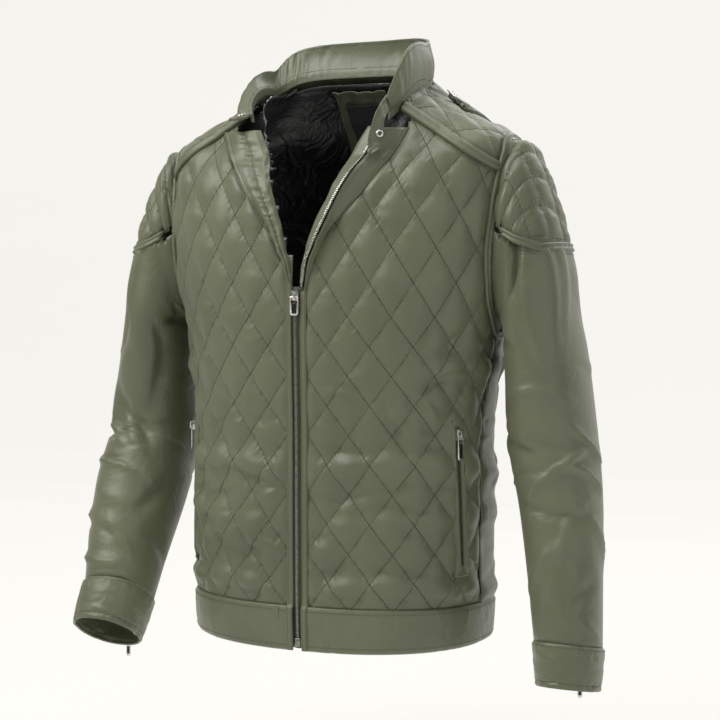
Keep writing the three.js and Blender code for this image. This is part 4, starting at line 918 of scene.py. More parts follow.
# Sleeves: plain nylon tubes that hang from the armholes and bend forward at the elbow, in soft folds.
# columns: outer edge and inner edge in the front view, middle and half depth in the side view, lean in degrees
sleeve_head = [
    (229, -68, 200, -269, 0, 62, 0), (246, -95, 203, -270.5, 0, 65, 0), (260, -134, 206, -273, 0, 69, 0),
    (273, -178, 208, -277, 0, 72, 0), (283, -222, 209, -284, 0, 74, 0), (288, -264, 210, -300, 0, 74, 0),
]
sleeve_rings = {
    "left": sleeve_head + [
        (297, -306, 211, -322, 0, 73, 2), (303, -345, 212, -352, 1, 72, 4), (311, -405, 212, -410, 2, 70, 5),
        (317, -450, 220, -450, 0, 63, 8), (321, -490, 229, -490, -5, 58, 10), (326, -570, 244, -568, -20, 50, 11),
        (330, -643, 256, -640, -33, 45, 11)],
    "right": sleeve_head + [
        (296, -306, 211, -322, 2, 73, 0), (304, -345, 212, -352, 5, 73, 0), (312, -412, 213, -410, 6, 70, 8),
        (316, -456, 214, -448, -14, 68, 24), (314, -494, 213, -488, -40, 66, 30), (306, -556, 216, -552, -76, 57, 31),
        (293, -610, 214, -606, -110, 47, 31)],
}
cuff_rings = {
    "left": [(330, -643, 256, -640, -33, 45, 11), (330, -668, 261, -666, -39, 43.5, 11),
             (329, -691, 263, -689, -43, 42.5, 11)],
    "right": [(293, -610, 214, -606, -110, 47, 31), (293, -632, 215, -630, -124, 45.5, 31),
              (291, -655, 217, -653, -138, 44, 31)],
}
sleeve_square = 2.2
tube_turns = np.linspace(0, 2 * math.pi, 145)
ring_run, ring_drop = 250, 45      # mm round a sleeve, and mm from one ring to the next, on the cut


def sleeve_ring(row, turns=tube_turns):
    outer_x, outer_z, inner_x, inner_z, middle, deep, tilt = row
    centre = np.array([(outer_x + inner_x) / 2, middle, (outer_z + inner_z) / 2])
    across = np.array([(outer_x - inner_x) / 2, 0, (outer_z - inner_z) / 2])
    along = np.array([0, -math.cos(math.radians(tilt)), math.sin(math.radians(tilt))])
    part = lambda value: (np.sign(value) * np.abs(value) ** (2 / sleeve_square))[:, None]
    return centre + across * part(np.cos(turns)) + along * deep * part(np.sin(turns))


armhole_ring = np.stack([
    armhole_x(armhole_centre + reach_at(tube_turns - math.pi / 2) * np.cos(tube_turns - math.pi / 2)),
    -reach_at(tube_turns) * np.sin(tube_turns),
    armhole_centre + reach_at(tube_turns) * np.cos(tube_turns)], -1)
armhole_ring[:, 0] = armhole_x(armhole_ring[:, 2]) + gap


def tube_form(rings, turned, every=0.1):
    """Places are round the sleeve from its outer side, and down from its first ring."""
    rings = np.array(rings)
    curve = smooth(np.arange(len(rings)), rings.reshape(len(rings), -1))
    chart = curve(np.arange(0, len(rings) - 1 + every / 2, every)).reshape(-1, len(tube_turns), 3)

    def form(flat):
        share = np.mod(flat[:, 0] * turned / ring_run, 1)
        points = between(chart, flat[:, 1] / ring_drop / every, share * (len(tube_turns) - 1))
        points[:, 0] *= turned
        return points

    return form


# columns: turn in degrees and ring where a fold starts, the same where it ends, its width and its rise in mm
sleeve_folds = {
    "left": [
        (40, 8.9, 1, 9.6, 4, 4.5), (115, 11.0, 62, 9.8, 5, 4), (62, 9.8, 32, 9.4, 5, 4), (62, 9.8, 33, 9.95, 5, 3.5),
        (33, 9.95, 0, 10.5, 4, 3.5), (118, 11.0, 41, 11.1, 4, -4), (41, 11.1, -9, 11.6, 4, 3.5),
        (138, 12.2, 78, 11.65, 5, 3.5), (78, 11.65, 57, 11.2, 5, 3.5), (85, 12.6, 39, 12.7, 3.5, 2.5),
        (39, 12.7, 3, 13.0, 3.5, 2.2), (157, 8.8, 97, 9.45, 7, -4), (114, 8.2, 47, 8.35, 8, 3),
        (106, 3.9, 84, 2.4, 7, -7), (60, 3.0, 55, 6.5, 9, 3), (35, 2.6, 30, 6.0, 8, 2.6), (80, 3.4, 76, 7.2, 8, -3),
        (150, 5.0, 120, 6.4, 8, -4), (20, 12.1, 60, 12.4, 5, -3), (90, 9.0, 60, 9.3, 7, -3),
        (300, 8.8, 250, 9.3, 6, 4), (255, 10.0, 305, 10.4, 6, -4), (310, 11.2, 260, 11.5, 5, 4),
        (240, 12.1, 300, 12.3, 5, -3), (290, 4.0, 285, 7.0, 9, 3), (240, 3.6, 262, 6.8, 9, -3.4),
    ],
    "right": [
        (23, 10.3, 96, 10.9, 4.5, 5), (96, 10.9, 139, 11.15, 4.5, 4), (26, 10.55, 120, 11.15, 4, -4.5),
        (37, 11.7, 94, 12.0, 4, 4.5), (94, 12.0, 128, 12.4, 4, 3.5), (40, 11.9, 100, 12.2, 4, -4),
        (46, 12.55, 107, 12.73, 4, 4), (107, 12.73, 133, 12.93, 4, 3), (90, 8.9, 112, 10.35, 6, 4.5),
        (48, 8.5, 92, 10.2, 7, 4), (72, 8.6, 116, 9.9, 7, -5), (83, 2.6, 86, 6.1, 9, 3.2), (60, 2.8, 58, 6.6, 8, -3),
        (143, 3.4, 140, 5.0, 8, -7), (120, 6.0, 118, 8.2, 9, -4), (28, 9.4, 70, 9.9, 6, -4), (160, 11.0, 130, 11.6, 6, -4),
        (40, 12.2, 20, 12.6, 4, -3), (60, 11.35, 110, 11.6, 4, 2.6),
        (300, 8.8, 250, 9.4, 6, 4), (255, 10.1, 305, 10.6, 6, -4.5), (310, 11.2, 255, 11.6, 5, 4),
        (240, 12.2, 300, 12.3, 5, -3), (285, 4.0, 290, 7.0, 9, 3), (240, 3.6, 262, 6.8, 9, -3.4),
    ],
}
cap_line = lambda x: np.interp(np.abs(x), (205, 235, 262, 290, 320), (-163, -181, -191, -186, -180))
cap_places = 6


def laid_folds(rows):
    """Folds given by their two ends, as creases on the sleeve's cut."""
    found = []
    for turn, ring, turn_end, ring_end, width, rise in rows:
        start = np.array([turn / 360 * ring_run, ring * ring_drop])
        end = np.array([turn_end / 360 * ring_run, ring_end * ring_drop])
        run = end - start
        found.append((*(start + end) / 2, math.degrees(math.atan2(run[1], run[0])), np.hypot(*run) * 1.3, width * 0.62,
                      rise * 1.25))
    return found


def around(rows, across, up):
    """Creases of a tube, which may cross its seam."""
    return sum(creases(rows, across + shift, up) for shift in (-ring_run, 0, ring_run))


for turned, side in ((1, "left"), (-1, "right")):
    form = tube_form([armhole_ring] + [sleeve_ring(row) for row in sleeve_rings[side]], turned)
    last = len(sleeve_rings[side]) * ring_drop
    folds = laid_folds(sleeve_folds[side])
    folds += many_creases(91 if turned > 0 else 92, 46, (0, 330), (ring_run, last - 12), (-34, 34), (16, 52), (2.5, 5), (0.6, 1.8))
    folds += many_creases(95 if turned > 0 else 96, 16, (0, 120), (ring_run, 330), (70, 110), (50, 120), (5, 9), (0.5, 1.4))

    def sleeve_rise(flat, turned=turned, folds=folds, last=last):
        across = np.mod(flat[:, 0] * turned, ring_run)
        fold = around(folds, across, flat[:, 1])
        return 1.0 + fold * pinched(flat[:, 1], 16) * pinched(last - flat[:, 1], 12)

    tube = cut_cloth(f"sleeve_{side}", (0, 0), (ring_run, last), (2.2, 3.2), form, sleeve_rise, loop=True, thick=1.4,
                     inside=lambda flat, base: base[:, 2] < cap_line(base[:, 0]) + 0.5)
    sewn(tube, plain_nylon, "plain_cloth", f"sleeve_{side}", f"forearm_{side}", held="draped")

    def cap_quilt(flat, turned=turned):
        turn = np.mod(flat[:, 0] * turned / ring_run, 1) * 360
        return np.stack([turn / 30, flat[:, 1] / ring_drop / 0.86 + turn / 60], -1)

    def cap_rise(flat, form=form, quilt=cap_quilt):
        base = form(flat)
        seam = pinched(base[:, 2] - cap_line(base[:, 0]) - 5) * pinched(flat[:, 1] - 1, 10)
        return 1.0 + (pillows(quilt(flat), flat * 1.6, 110, fill=3.6)) * seam

    cap = cut_cloth(f"sleeve_cap_{side}", (0, 0), (ring_run, cap_places * ring_drop), (1.9, 2.0), form, cap_rise,
                    inside=lambda flat, base: base[:, 2] > cap_line(base[:, 0]) - 0.5, loop=True, thick=1.4)
    with_lattice(cap, cap_quilt)
    sewn(cap, quilted_nylon, "quilted_cloth", f"sleeve_cap_{side}")
    frames = []
    for k in range(12):
        line = np.stack([np.full(90, turned * 30 * k / 360 * ring_run), np.linspace(3, cap_places * ring_drop, 90)], -1)
        base = form(line)
        line = line[base[:, 2] > cap_line(base[:, 0]) + 6]
        if len(line) > 4:
            frames.append(stitches(form, line, rise=lambda f, r=cap_rise: r(f) + 0.1))
    for k in range(-1, 15):
        turn = np.linspace(0, 359, 150)
        down = (k - turn / 60) * 0.86 * ring_drop
        line = np.stack([turned * turn / 360 * ring_run, down], -1)
        base = form(line)
        good = (base[:, 2] > cap_line(base[:, 0]) + 6) & (down > 3) & (down < cap_places * ring_drop)
        for run in np.split(np.arange(150), np.flatnonzero(np.diff(good.astype(int))) + 1):
            if len(run) > 4 and good[run[0]]:
                frames.append(stitches(form, line[run], rise=lambda f, r=cap_rise: r(f) + 0.1))
    thread(f"quilting_thread_cap_{side}", frames)

    def cap_seam(flat, form=form):
        """Places are round the sleeve the other way, and up from the line of the cap's seam."""
        low, high = np.zeros(len(flat)), np.full(len(flat), 7.0 * ring_drop)
        for _ in range(20):
            middle = (low + high) / 2
            base = form(np.stack([-flat[:, 0], middle], -1))
            past = base[:, 2] < cap_line(base[:, 0]) + flat[:, 1]
            high, low = np.where(past, middle, high), np.where(past, low, middle)
        return form(np.stack([-flat[:, 0], (low + high) / 2], -1))

    on_seam = lambda flat, base: np.abs(base[:, 2] - cap_line(base[:, 0]) - flat[:, 1]) < 0.4
    welt = cut_cloth(f"cap_welt_{side}", (-ring_run, -5.5), (0, 5.5), (1.0, 1.0), cap_seam,
                     lambda f: corded(f[:, 1], 5.5, rise=2.6, low=1.6) + 0.3 * unevenness(f[:, 0] * 1.5, f[:, 1], 5, 75),
                     inside=on_seam, thick=1.2)
    sewn(welt, trim_nylon, "plain_cloth", f"cap_welt_{side}")
    ring = np.linspace(-ring_run, 0, 240)
    frames = []
    for up in (0.0, 8.5, -8.5):
        line = np.stack([ring, np.full(240, up)], -1)
        base = cap_seam(line)
        good = on_seam(line, base)
        for run in np.split(np.arange(240), np.flatnonzero(np.diff(good.astype(int))) + 1):
            if len(run) > 4 and good[run[0]]:
                frames.append(stitches(cap_seam, line[run], rise=1.9))
    thread(f"cap_thread_{side}", frames)


# Cuffs: a doubled band on each sleeve, rolled at its lower edge, with a seam beside the little zip at the back.
def rounded(piece, width=0.9):
    """Rounds the folded edges of a thick piece."""
    soft = piece.modifiers.new("rolled_edge", "BEVEL")
    soft.width, soft.segments, soft.limit_method, soft.angle_limit = width * 0.001, 2, "ANGLE", math.radians(60)
    return piece


for turned, side in ((1, "left"), (-1, "right")):
    rings = [sleeve_ring(row) + np.array([0, 0, -gap]) for row in cuff_rings[side]]
    form = tube_form(rings, turned)
    gathers = many_creases(121, 60, (0, 0), (ring_run, 20), (70, 110), (10, 26), (1.6, 3), (0.2, 0.7))
    gathers += many_creases(122, 70, (0, 74), (ring_run, 90), (50, 130), (8, 16), (1.4, 2.4), (0.3, 0.8))
    gathers += many_creases(123, 20, (0, 15), (ring_run, 75), (-50, 50), (20, 44), (3, 6), (0.3, 0.9))

    def cuff_rise(flat, turned=turned, gathers=gathers):
        share = flat[:, 1] / 90
        across = np.mod(flat[:, 0] * turned, ring_run)
        roll = np.sqrt(np.clip(1 - np.clip((share - 0.93) / 0.07, 0, 1) ** 2, 0.1, 1))
        groove = 0.9 * np.exp(-((share - 0.86) / 0.02) ** 2) + 0.8 * np.exp(-((across - 0.15 * ring_run) / 1.2) ** 2)
        top = pinched(share, 0.06)
        return 1.2 + (2.6 - 0.8 * np.abs(2 * share - 1)) * roll * top - groove + around(gathers, across, flat[:, 1]) * top

    cuff = cut_cloth(f"cuff_{side}", (0, 0), (ring_run, 90), (1.6, 2.2), form, cuff_rise, loop=True, thick=2.6)
    sewn(rounded(cuff), plain_nylon, "plain_cloth", f"cuff_{side}")
    ring = np.linspace(0, ring_run, 200)
    thread(f"cuff_thread_{side}", [
        stitches(form, np.stack([ring, np.full(200, up)], -1), rise=lambda f, r=cuff_rise: r(f) + 0.2) for up in (6, 77)])


# Stand collar: two plies gathered between the neck seam and the rim, open at the front.
# columns: turn in degrees, then how far the rim lies from the neck line
collar_rows = np.array([
    (-44, 0, -8, 16), (-30, -1, -4, 38), (-15, -3, 0, 48), (0, -5, 0, 48), (40, -5, 2, 42), (90, 0, 6, 36),
    (130, -5, 12, 35), (155, -8, 18, 31), (180, -12, 22, 24), (205, -17, 12, 12), (224, -20, 2, -3)])
collar_rim = smooth(collar_rows[:, 0], collar_rows[:, 1:])
collar_tall, collar_degree = 42, 1.5     # mm up the stand, and mm to a degree round it, on the cut


def collar_form(flat):
    turn, share = flat[:, 0] / collar_degree, flat[:, 1] / collar_tall
    angle = np.radians(turn)
    out = np.stack([np.cos(angle), np.sin(angle), np.zeros(len(flat))], -1)
    base = on_body(np.full(len(flat), ring_places[neck_ring]), angle)
    lift = 3.6 + 5 * np.clip((turn - 150) / 60, 0, 1) + 2 * np.clip((-20 - turn) / 20, 0, 1)
    bulge = 2.5 * np.sin(np.pi * np.clip(share, 0, 1))
    tucked = np.minimum(flat[:, 1], 0)
    up = lift + tucked
    return (base + collar_rim(turn) * np.maximum(share, 0)[:, None] + out * (bulge + 0.15 * tucked)[:, None]
            + np.array([0, 0, 1]) * up[:, None])


def collar_rise(flat):
    share = np.clip(flat[:, 1] / collar_tall, 0, 1)
    open_share = np.sin(np.pi * share) ** 0.6
    folds = 1.7 * unevenness(flat[:, 0] + 6 * share, flat[:, 1] * 0.12, 8.5, 131)
    fine = 0.8 * unevenness(flat[:, 0], flat[:, 1] * 0.2, 3.4, 132) * (1 - 0.6 * open_share)
    return folds * open_share + fine * np.clip(6 * share * (1 - share) + 0.25, 0, 1)


collar = cut_cloth("collar", (-44 * collar_degree, -9), (224 * collar_degree, collar_tall), (1.7, 1.7),
                   collar_form, collar_rise, thick=3.4, offset=0)
sewn(rounded(collar), trim_nylon, "plain_cloth", "collar", held="gathered", rests_on=["yoke_left", "yoke_right"])
ring = np.linspace(-42 * collar_degree, 222 * collar_degree, 320)
frames = []
for face in (1.9, -1.9):
    frames += [stitches(collar_form, np.stack([ring, np.full(320, up)], -1), rise=lambda f, o=face: collar_rise(f) + o)
               for up in (3.5, collar_tall - 3.5)]
thread("collar_thread", frames)


# Pointed tabs at the collar's ends: the wearer's right one lies folded out, the left one hangs down.
def patch_form(rows, wide, tall):
    """Lays a cut of wide by tall mm on rows of points: the rows go up the cut, each from left to right."""
    rows = np.array(rows)
    down = smooth(np.linspace(0, tall, len(rows)), rows.reshape(len(rows), -1))
    count = rows.shape[1]

    def form(flat):
        lines = down(flat[:, 1]).reshape(len(flat), count, 3)
        place = np.clip(flat[:, 0] / wide, -0.1, 1.1) * (count - 1)
        i = np.clip(np.floor(place).astype(int), 0, count - 2)
        share = (place - i)[:, None]
        index = np.arange(len(flat))
        return lines[index, i] * (1 - share) + lines[index, i + 1] * share

    return form


collar_end = lambda turn, share: collar_form(np.array([[turn * collar_degree, share * collar_tall]]))[0]
right_base, right_rim = collar_end(224, 0), collar_end(224, 1)
left_base, left_rim = collar_end(-44, 0), collar_end(-44, 1)
tab_rows = {
    "right": [
        (right_base + (1, 2.0, 0.5), right_rim + (0.5, 2.0, 0.5)),
        (right_base + (1, -10, -3), right_rim + (0.5, -11, -1.5)),
        (right_base + (1, -18, -5), right_rim + (0, -20, -3)),
        (right_base + (-6, -26, -7), right_rim + (3, -30, -6))],
    "left": [
        (left_rim + (-0.5, 1.5, 2), left_base + (0, 1.5, 3)),
        (left_rim + (-5, -22, -22), left_base + (4, -24, -12)),
        (left_rim + (-10, -30, -50), left_base + (4, -31, -42)),
        (left_rim + (-9, -33, -66), left_rim + (-3, -33.5, -68))],
}
for side, wide, tall in (("right", 34, 31), ("left", 26, 76)):
    form = patch_form(tab_rows[side], wide, tall)
    tab_rise = lambda f: 0.7 * unevenness(f[:, 0], f[:, 1], 9, 141) + 0.3 * unevenness(f[:, 0], f[:, 1], 3.5, 142)
    tab = cut_cloth(f"collar_tab_{side}", (0, 0), (wide, tall), (1.1, 1.1), form, tab_rise, thick=2.8, offset=0)
    sewn(rounded(tab, 0.8), trim_nylon, "plain_cloth", f"collar_tab_{side}")
    border = np.array([(3, 1), (3, tall - 3), (wide - 3, tall - 3), (wide - 3, 1)], float)
    line = np.concatenate([border[k] + (border[k + 1] - border[k]) * np.linspace(0, 1, 24)[:, None] for k in range(3)])
    thread(f"tab_thread_{side}", [stitches(form, line, rise=lambda f, o=o: tab_rise(f) + o, pitch=2.8, long=2.0)
                                  for o in (1.5, -1.5)])


# Metal fittings: nickel-plated snaps, sliders and pulls, a little worn and smudged.
def metal(name, light, dark, roughness):
    material, shade, shader = new_material(name, Metallic=1.0)
    place = shade.make("ShaderNodeTexCoord", out="Object")
    smudge = shade.make("ShaderNodeTexNoise", None, {"Vector": place, "Scale": 260.0, "Detail": 4.0})
    scratch = shade.make("ShaderNodeTexNoise", None, {"Vector": place, "Scale": 1800.0, "Distortion": 1.5})
    tone = shade.make("ShaderNodeValToRGB", {"stops": [(0.35, dark), (0.65, light)]}, {0: smudge})
    dull = smudge * 0.2 + (roughness - 0.1)
    bump = shade.make("ShaderNodeBump", None, {"Strength": 0.3, "Distance": 0.0002, "Height": scratch})
    wire(shade, shader, Base_Color=tone, Roughness=dull, Normal=bump)
    return material


nickel = metal("nickel", (0.72, 0.71, 0.68, 1), (0.5, 0.49, 0.46, 1), 0.26)
black_nickel = metal("black_nickel", (0.06, 0.06, 0.062, 1), (0.03, 0.03, 0.032, 1), 0.32)
tooth_metal = metal("tooth_metal", (0.34, 0.35, 0.29, 1), (0.2, 0.21, 0.17, 1), 0.36)
dark_tooth = metal("dark_tooth", (0.13, 0.14, 0.1, 1), (0.07, 0.08, 0.055, 1), 0.42)


def facing_frame(out):
    """Axes of a part that faces outward: across, up and out."""
    out = np.array(out) / np.linalg.norm(out)
    across = np.cross((0, 0, 1.0), out)
    across /= np.linalg.norm(across)
    return across, np.cross(out, across), out


def round_part(name, profile, node, out, body="jacket"):
    """A turned fitting on its node's place. The profile's columns are radius and height."""
    bm = bmesh.new()
    ends = [bm.verts.new((radius, 0, height)) for radius, height in profile]
    edges = [bm.edges.new(pair) for pair in zip(ends, ends[1:])]
    bmesh.ops.spin(bm, geom=ends + edges, cent=(0, 0, 0), axis=(0, 0, 1), angle=math.tau, steps=40, use_merge=True)
    bmesh.ops.remove_doubles(bm, verts=bm.verts, dist=0.01)
    bmesh.ops.recalc_face_normals(bm, faces=bm.faces)
    low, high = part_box(node)
    centre = (np.array(low) + np.array(high)) / 2
    across, up, out = facing_frame(out)
    middle = (min(height for _, height in profile) + max(height for _, height in profile)) / 2
    turn = Matrix((across, up, out)).transposed().to_4x4()
    bmesh.ops.transform(bm, verts=bm.verts, matrix=Matrix.Translation(centre) @ Matrix.Scale(0.001, 4) @ turn
                        @ Matrix.Translation((0, 0, -middle)))
    for face in bm.faces:
        face.smooth = True
    mesh = bpy.data.meshes.new(name)
    bm.to_mesh(mesh)
    bm.free()
    piece = bpy.data.objects.new(name, mesh)
    bpy.context.scene.collection.objects.link(piece)
    piece.data.materials.append(nickel)
    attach(piece, body)
    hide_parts(node)
    return piece


right_face = np.cross(tab_rows["right"][2][0] - tab_rows["right"][0][0], tab_rows["right"][0][1] - tab_rows["right"][0][0])
left_face = np.cross(tab_rows["left"][2][0] - tab_rows["left"][1][0], tab_rows["left"][1][1] - tab_rows["left"][1][0])
round_part("snap_cap", [(0, 1.0), (2.6, 1.0), (3.4, 1.5), (4.3, 1.4), (4.9, 0.7), (4.9, 0), (0, 0)], "snap_stud",
           right_face * np.sign(right_face[2]))
round_part("snap_ring", [(2.3, 0), (2.3, 1.0), (2.9, 1.5), (3.7, 1.5), (4.4, 0.9), (4.4, 0), (2.3, 0)], "snap_socket",
           left_face * -np.sign(left_face[1]))


# Plackets: narrow stitched strips that cover the zip's tape beside the quilting, on the left up to the collar.
def front_at(x, z, ahead):
    point = face_point(x, z, -1)
    point[..., 1] -= ahead
    return point


crest_rise = lambda z: 13 * np.clip((z + 245) / 60, 0, 1)
strip_wide = 12


def edge_form(turned, columns):
    """Places are across an edge strip and up the front. The columns give its x and how far it stands ahead."""
    def form(flat):
        share, z = flat[:, 0] * turned / strip_wide, flat[:, 1]
        xs, aheads = zip(*[(np.broadcast_to(x, z.shape), np.broadcast_to(ahead, z.shape)) for x, ahead in columns(z)])
        place = np.clip(share, 0, 1) * (len(xs) - 1)
        i = np.clip(np.floor(place).astype(int), 0, len(xs) - 2)
        step = (place - i)
        index = np.arange(len(z))
        xs, aheads = np.stack(xs, 1), np.stack(aheads, 1)
        x = xs[index, i] * (1 - step) + xs[index, i + 1] * step
        ahead = aheads[index, i] * (1 - step) + aheads[index, i + 1] * step
        points = front_at(x, z, ahead)
        points[:, 0] *= turned
        return points

    return form


def left_placket(z):
    inner = np.maximum(tape_edge, crest_edge(z)) + gap
    outer = np.maximum(quilt_edge(z) + 1.5, inner + 3.2)
    return [(inner, crest_rise(z)), ((inner + outer) / 2, crest_rise(z) * 0.4 - 0.4), (outer, 0)]


def right_placket(z):
    return [(tape_edge + gap, 0), (8.2, 0), (np.minimum(placket_edge, quilt_edge(z)) + 1.5, 0)]


placket_foot, hem_front = -654.5, -655
for turned, side, columns, top in ((1, "left", left_placket, -54), (-1, "right", right_placket, -200)):
    form = edge_form(turned, columns)

    def placket_rise(flat):
        across = np.abs(flat[:, 0])
        on_band = 4.0 * np.clip((band_top + 2 - flat[:, 1]) / 4, 0, 1)
        fold = 1.3 * np.sqrt(np.clip(1 - (across / strip_wide * 2 - 1) ** 6, 0, 1))
        return 1.1 + on_band + fold + 0.35 * unevenness(flat[:, 0] * 0.4, flat[:, 1], 5.5, 151)

    strip = cut_cloth(f"placket_{side}", (min(0, turned * strip_wide), placket_foot),
                      (max(0, turned * strip_wide), top), (1.0, 2.2), form, placket_rise, thick=1.4)
    sewn(strip, trim_nylon, "plain_cloth", f"placket_{side}", rests_on=[f"front_{side}"])
    frames = []
    run = np.linspace(placket_foot + 2, top - 3, 420)
    for across in (2.2, 9.6):
        frames.append(stitches(form, np.stack([np.full(420, turned * across), run], -1),
                               rise=lambda f: placket_rise(f) + 0.1, pitch=3.0, long=2.2))
    thread(f"placket_thread_{side}", frames)


# The left edge's facing rolls back inside the neck, and the right edge is folded flat over the front.
def facing_columns(z):
    roll = opening_at(z)[..., 2]
    crest = np.maximum(tape_edge, crest_edge(z)) + gap
    return [(roll - 4, -11), (roll, crest_rise(z) * 0.5 + 1), (crest - 1.6, crest_rise(z) + 0.3)]


facing = cut_cloth("facing_left", (0, -232), (strip_wide, -52), (0.8, 2.2), edge_form(1, facing_columns),
                   lambda f: 0.6 + 0.7 * unevenness(f[:, 0], f[:, 1] * 0.7, 6, 161), thick=1.2)
sewn(facing, trim_nylon, "plain_cloth", "facing_left", rests_on=["lining"])

flap_rise_at = lambda z: 7.6 - 3 * np.clip((-195 - z) / 30, 0, 1)


def flap_columns(z):
    opened = opening_at(z)
    roll, flap = opened[..., 2], opened[..., 3]
    return [(roll, flap_rise_at(z) - 4.5), (roll + 0.12 * (flap - roll), flap_rise_at(z) - 0.6),
            ((roll + flap) / 2, flap_rise_at(z) + 1.0), (flap, flap_rise_at(z) + 0.6)]


def flap_rise(flat):
    share = np.abs(flat[:, 0]) / strip_wide
    seam = np.exp(-((share - 0.62) / 0.05) ** 2)
    puckers = unevenness(flat[:, 0] * 0.2, flat[:, 1], 2.6, 162)
    drag = unevenness(flat[:, 0] * 2 - flat[:, 1] * 0.5, flat[:, 1], 9, 163)
    beside = np.exp(-((share - 0.62) / 0.14) ** 2)
    return 1.0 - 1.5 * seam + 1.3 * beside * puckers + 0.9 * drag + 1.2 * np.exp(-((share - 0.78) / 0.1) ** 2)


flap_form = edge_form(-1, flap_columns)
flap = cut_cloth("flap_right", (-strip_wide, -230), (0, -52), (0.28, 1.3), flap_form, flap_rise, thick=1.4)
sewn(flap, trim_nylon, "plain_cloth", "flap_right", held="folded", rests_on=["front_right"])
run = np.linspace(-228, -55, 200)
thread("flap_thread", [stitches(flap_form, np.stack([np.full(200, -across), run], -1),
                                rise=lambda f: flap_rise(f) + 0.2, pitch=3.0, long=2.2) for across in (7.4, 10.9)])


# Front zip: two woven tapes with rows of small metal teeth, closed up to the slider and parted above it.
tape_material, shade, shader = new_material("zip_tape", Sheen_Weight=0.1)
place = shade.make("ShaderNodeTexCoord", out="Object")
ribs = shade.make("ShaderNodeTexWave", {"wave_type": "BANDS", "bands_direction": "Z"}, {
    "Vector": place, "Scale": 420.0, "Distortion": 0.6, "Detail": 1.0})
cloud = shade.make("ShaderNodeTexNoise", None, {"Vector": place, "Scale": 60.0, "Detail": 3.0})
tone = shade.make("ShaderNodeValToRGB", {"stops": [
    (0.2, (0.05, 0.056, 0.036, 1)), (0.8, (0.085, 0.095, 0.062, 1))]}, {0: ribs * 0.4 + cloud * 0.6})
bump = shade.make("ShaderNodeBump", None, {"Strength": 0.6, "Distance": 0.0003, "Height": ribs})
wire(shade, shader, Base_Color=tone, Roughness=cloud * 0.2 + 0.7, Normal=bump)

slider_height = -246
zip_form = edge_form(1, lambda z: [(-tape_edge - 4, -2.4), (-tape_edge + 0.6, -0.2), (0, 0.4), (tape_edge - 0.6, -0.2),
                                   (tape_edge + 4, -2.4)])
tape = cut_cloth("zip_tape", (0, hem_front + 2), (strip_wide, slider_height + 10), (1.0, 4.0), zip_form,
                 lambda f: 0.5 + 0.9 * (np.abs(f[:, 0] - 6) < 2.2), thick=0.8)
sewn(tape, tape_material, "zip_tape", "zip_tape")


def tooth_shape():
    """A zip's tooth: a small rounded block, with its head along X."""
    bm = bmesh.new()
    bmesh.ops.create_cube(bm, size=1)
    tips = [v for v in bm.verts if v.co.x > 0]
    bmesh.ops.scale(bm, verts=tips, vec=Vector((1, 0.72, 0.8)))
    bmesh.ops.bevel(bm, geom=bm.edges[:], offset=0.14, segments=1, affect="EDGES", profile=0.5, material=-1)
    bmesh.ops.triangulate(bm, faces=bm.faces[:])
    points = np.array([v.co for v in bm.verts])
    faces = np.array([[v.index for v in face.verts] for face in bm.faces])
    bm.free()
    return points, faces


tooth_points, tooth_faces = tooth_shape()


def teeth(name, path, out, heads, node, material, size=(3.2, 1.5, 2.0), pitch=1.7):
    """Teeth along a path. The heads point left and right by turns, or all one way."""
    path, out = np.asarray(path, float), np.asarray(out, float)
    lengths = np.concatenate([[0], np.cumsum(np.linalg.norm(np.diff(path, axis=0), axis=1))])
    wanted = np.arange(pitch / 2, lengths[-1], pitch)
    at = np.stack([np.interp(wanted, lengths, path[:, k]) for k in range(3)], -1)
    face = np.stack([np.interp(wanted, lengths, out[:, k]) for k in range(3)], -1)
    face /= np.linalg.norm(face, axis=1, keepdims=True)
    run = np.stack([np.interp(wanted + 0.5, lengths, path[:, k]) for k in range(3)], -1) - at
    run /= np.maximum(np.linalg.norm(run, axis=1, keepdims=True), 1e-9)
    run[-1] = run[-2]
    side = np.cross(run, face)
    turn = np.where(np.arange(len(at)) % 2 == 0, 1, -1)[:, None] if heads == 0 else heads
    frames = np.stack([at + side * turn * (0.5 if heads == 0 else 0), side * turn * size[0], run * size[1], face * size[2]], 1)
    piece = strewn(name, tooth_points, tooth_faces, frames)
    bm = bmesh.new()
    bm.from_mesh(piece.data)
    bmesh.ops.recalc_face_normals(bm, faces=bm.faces)
    bm.to_mesh(piece.data)
    bm.free()
    piece.data.polygons.foreach_set("use_smooth", [False] * len(piece.data.polygons))
    piece.data.materials.append(material)
    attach(piece, "jacket")
    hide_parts(node)
    return piece


heights = np.linspace(hem_front + 15, slider_height - 7, 90)
chain_line = front_at(np.zeros(90), heights, 2.6)
teeth("zip_teeth", chain_line, np.tile((0, -1, 0), (90, 1)), 0, "zip_chain", tooth_metal)
heights = np.linspace(-236, -56, 60)
left_line = front_at(np.maximum(tape_edge, crest_edge(heights)) - 1.2, heights, crest_rise(heights) + 3.6)
teeth("open_teeth_left", left_line, np.tile((-0.45, -1, 0.1), (60, 1)), 1, "open_chain_left", nickel,
      size=(3.4, 1.3, 1.8), pitch=2.3)
heights = np.linspace(-206, -56, 60)
right_line = front_at(opening_at(heights)[:, 3] + 0.6, heights, flap_rise_at(heights) + 1.6)
right_line[:, 0] *= -1
teeth("open_teeth_right", right_line, np.tile((0.1, -1, 0.1), (60, 1)), 1, "open_chain_right", dark_tooth,
      size=(3.2, 1.3, 1.6), pitch=2.3)
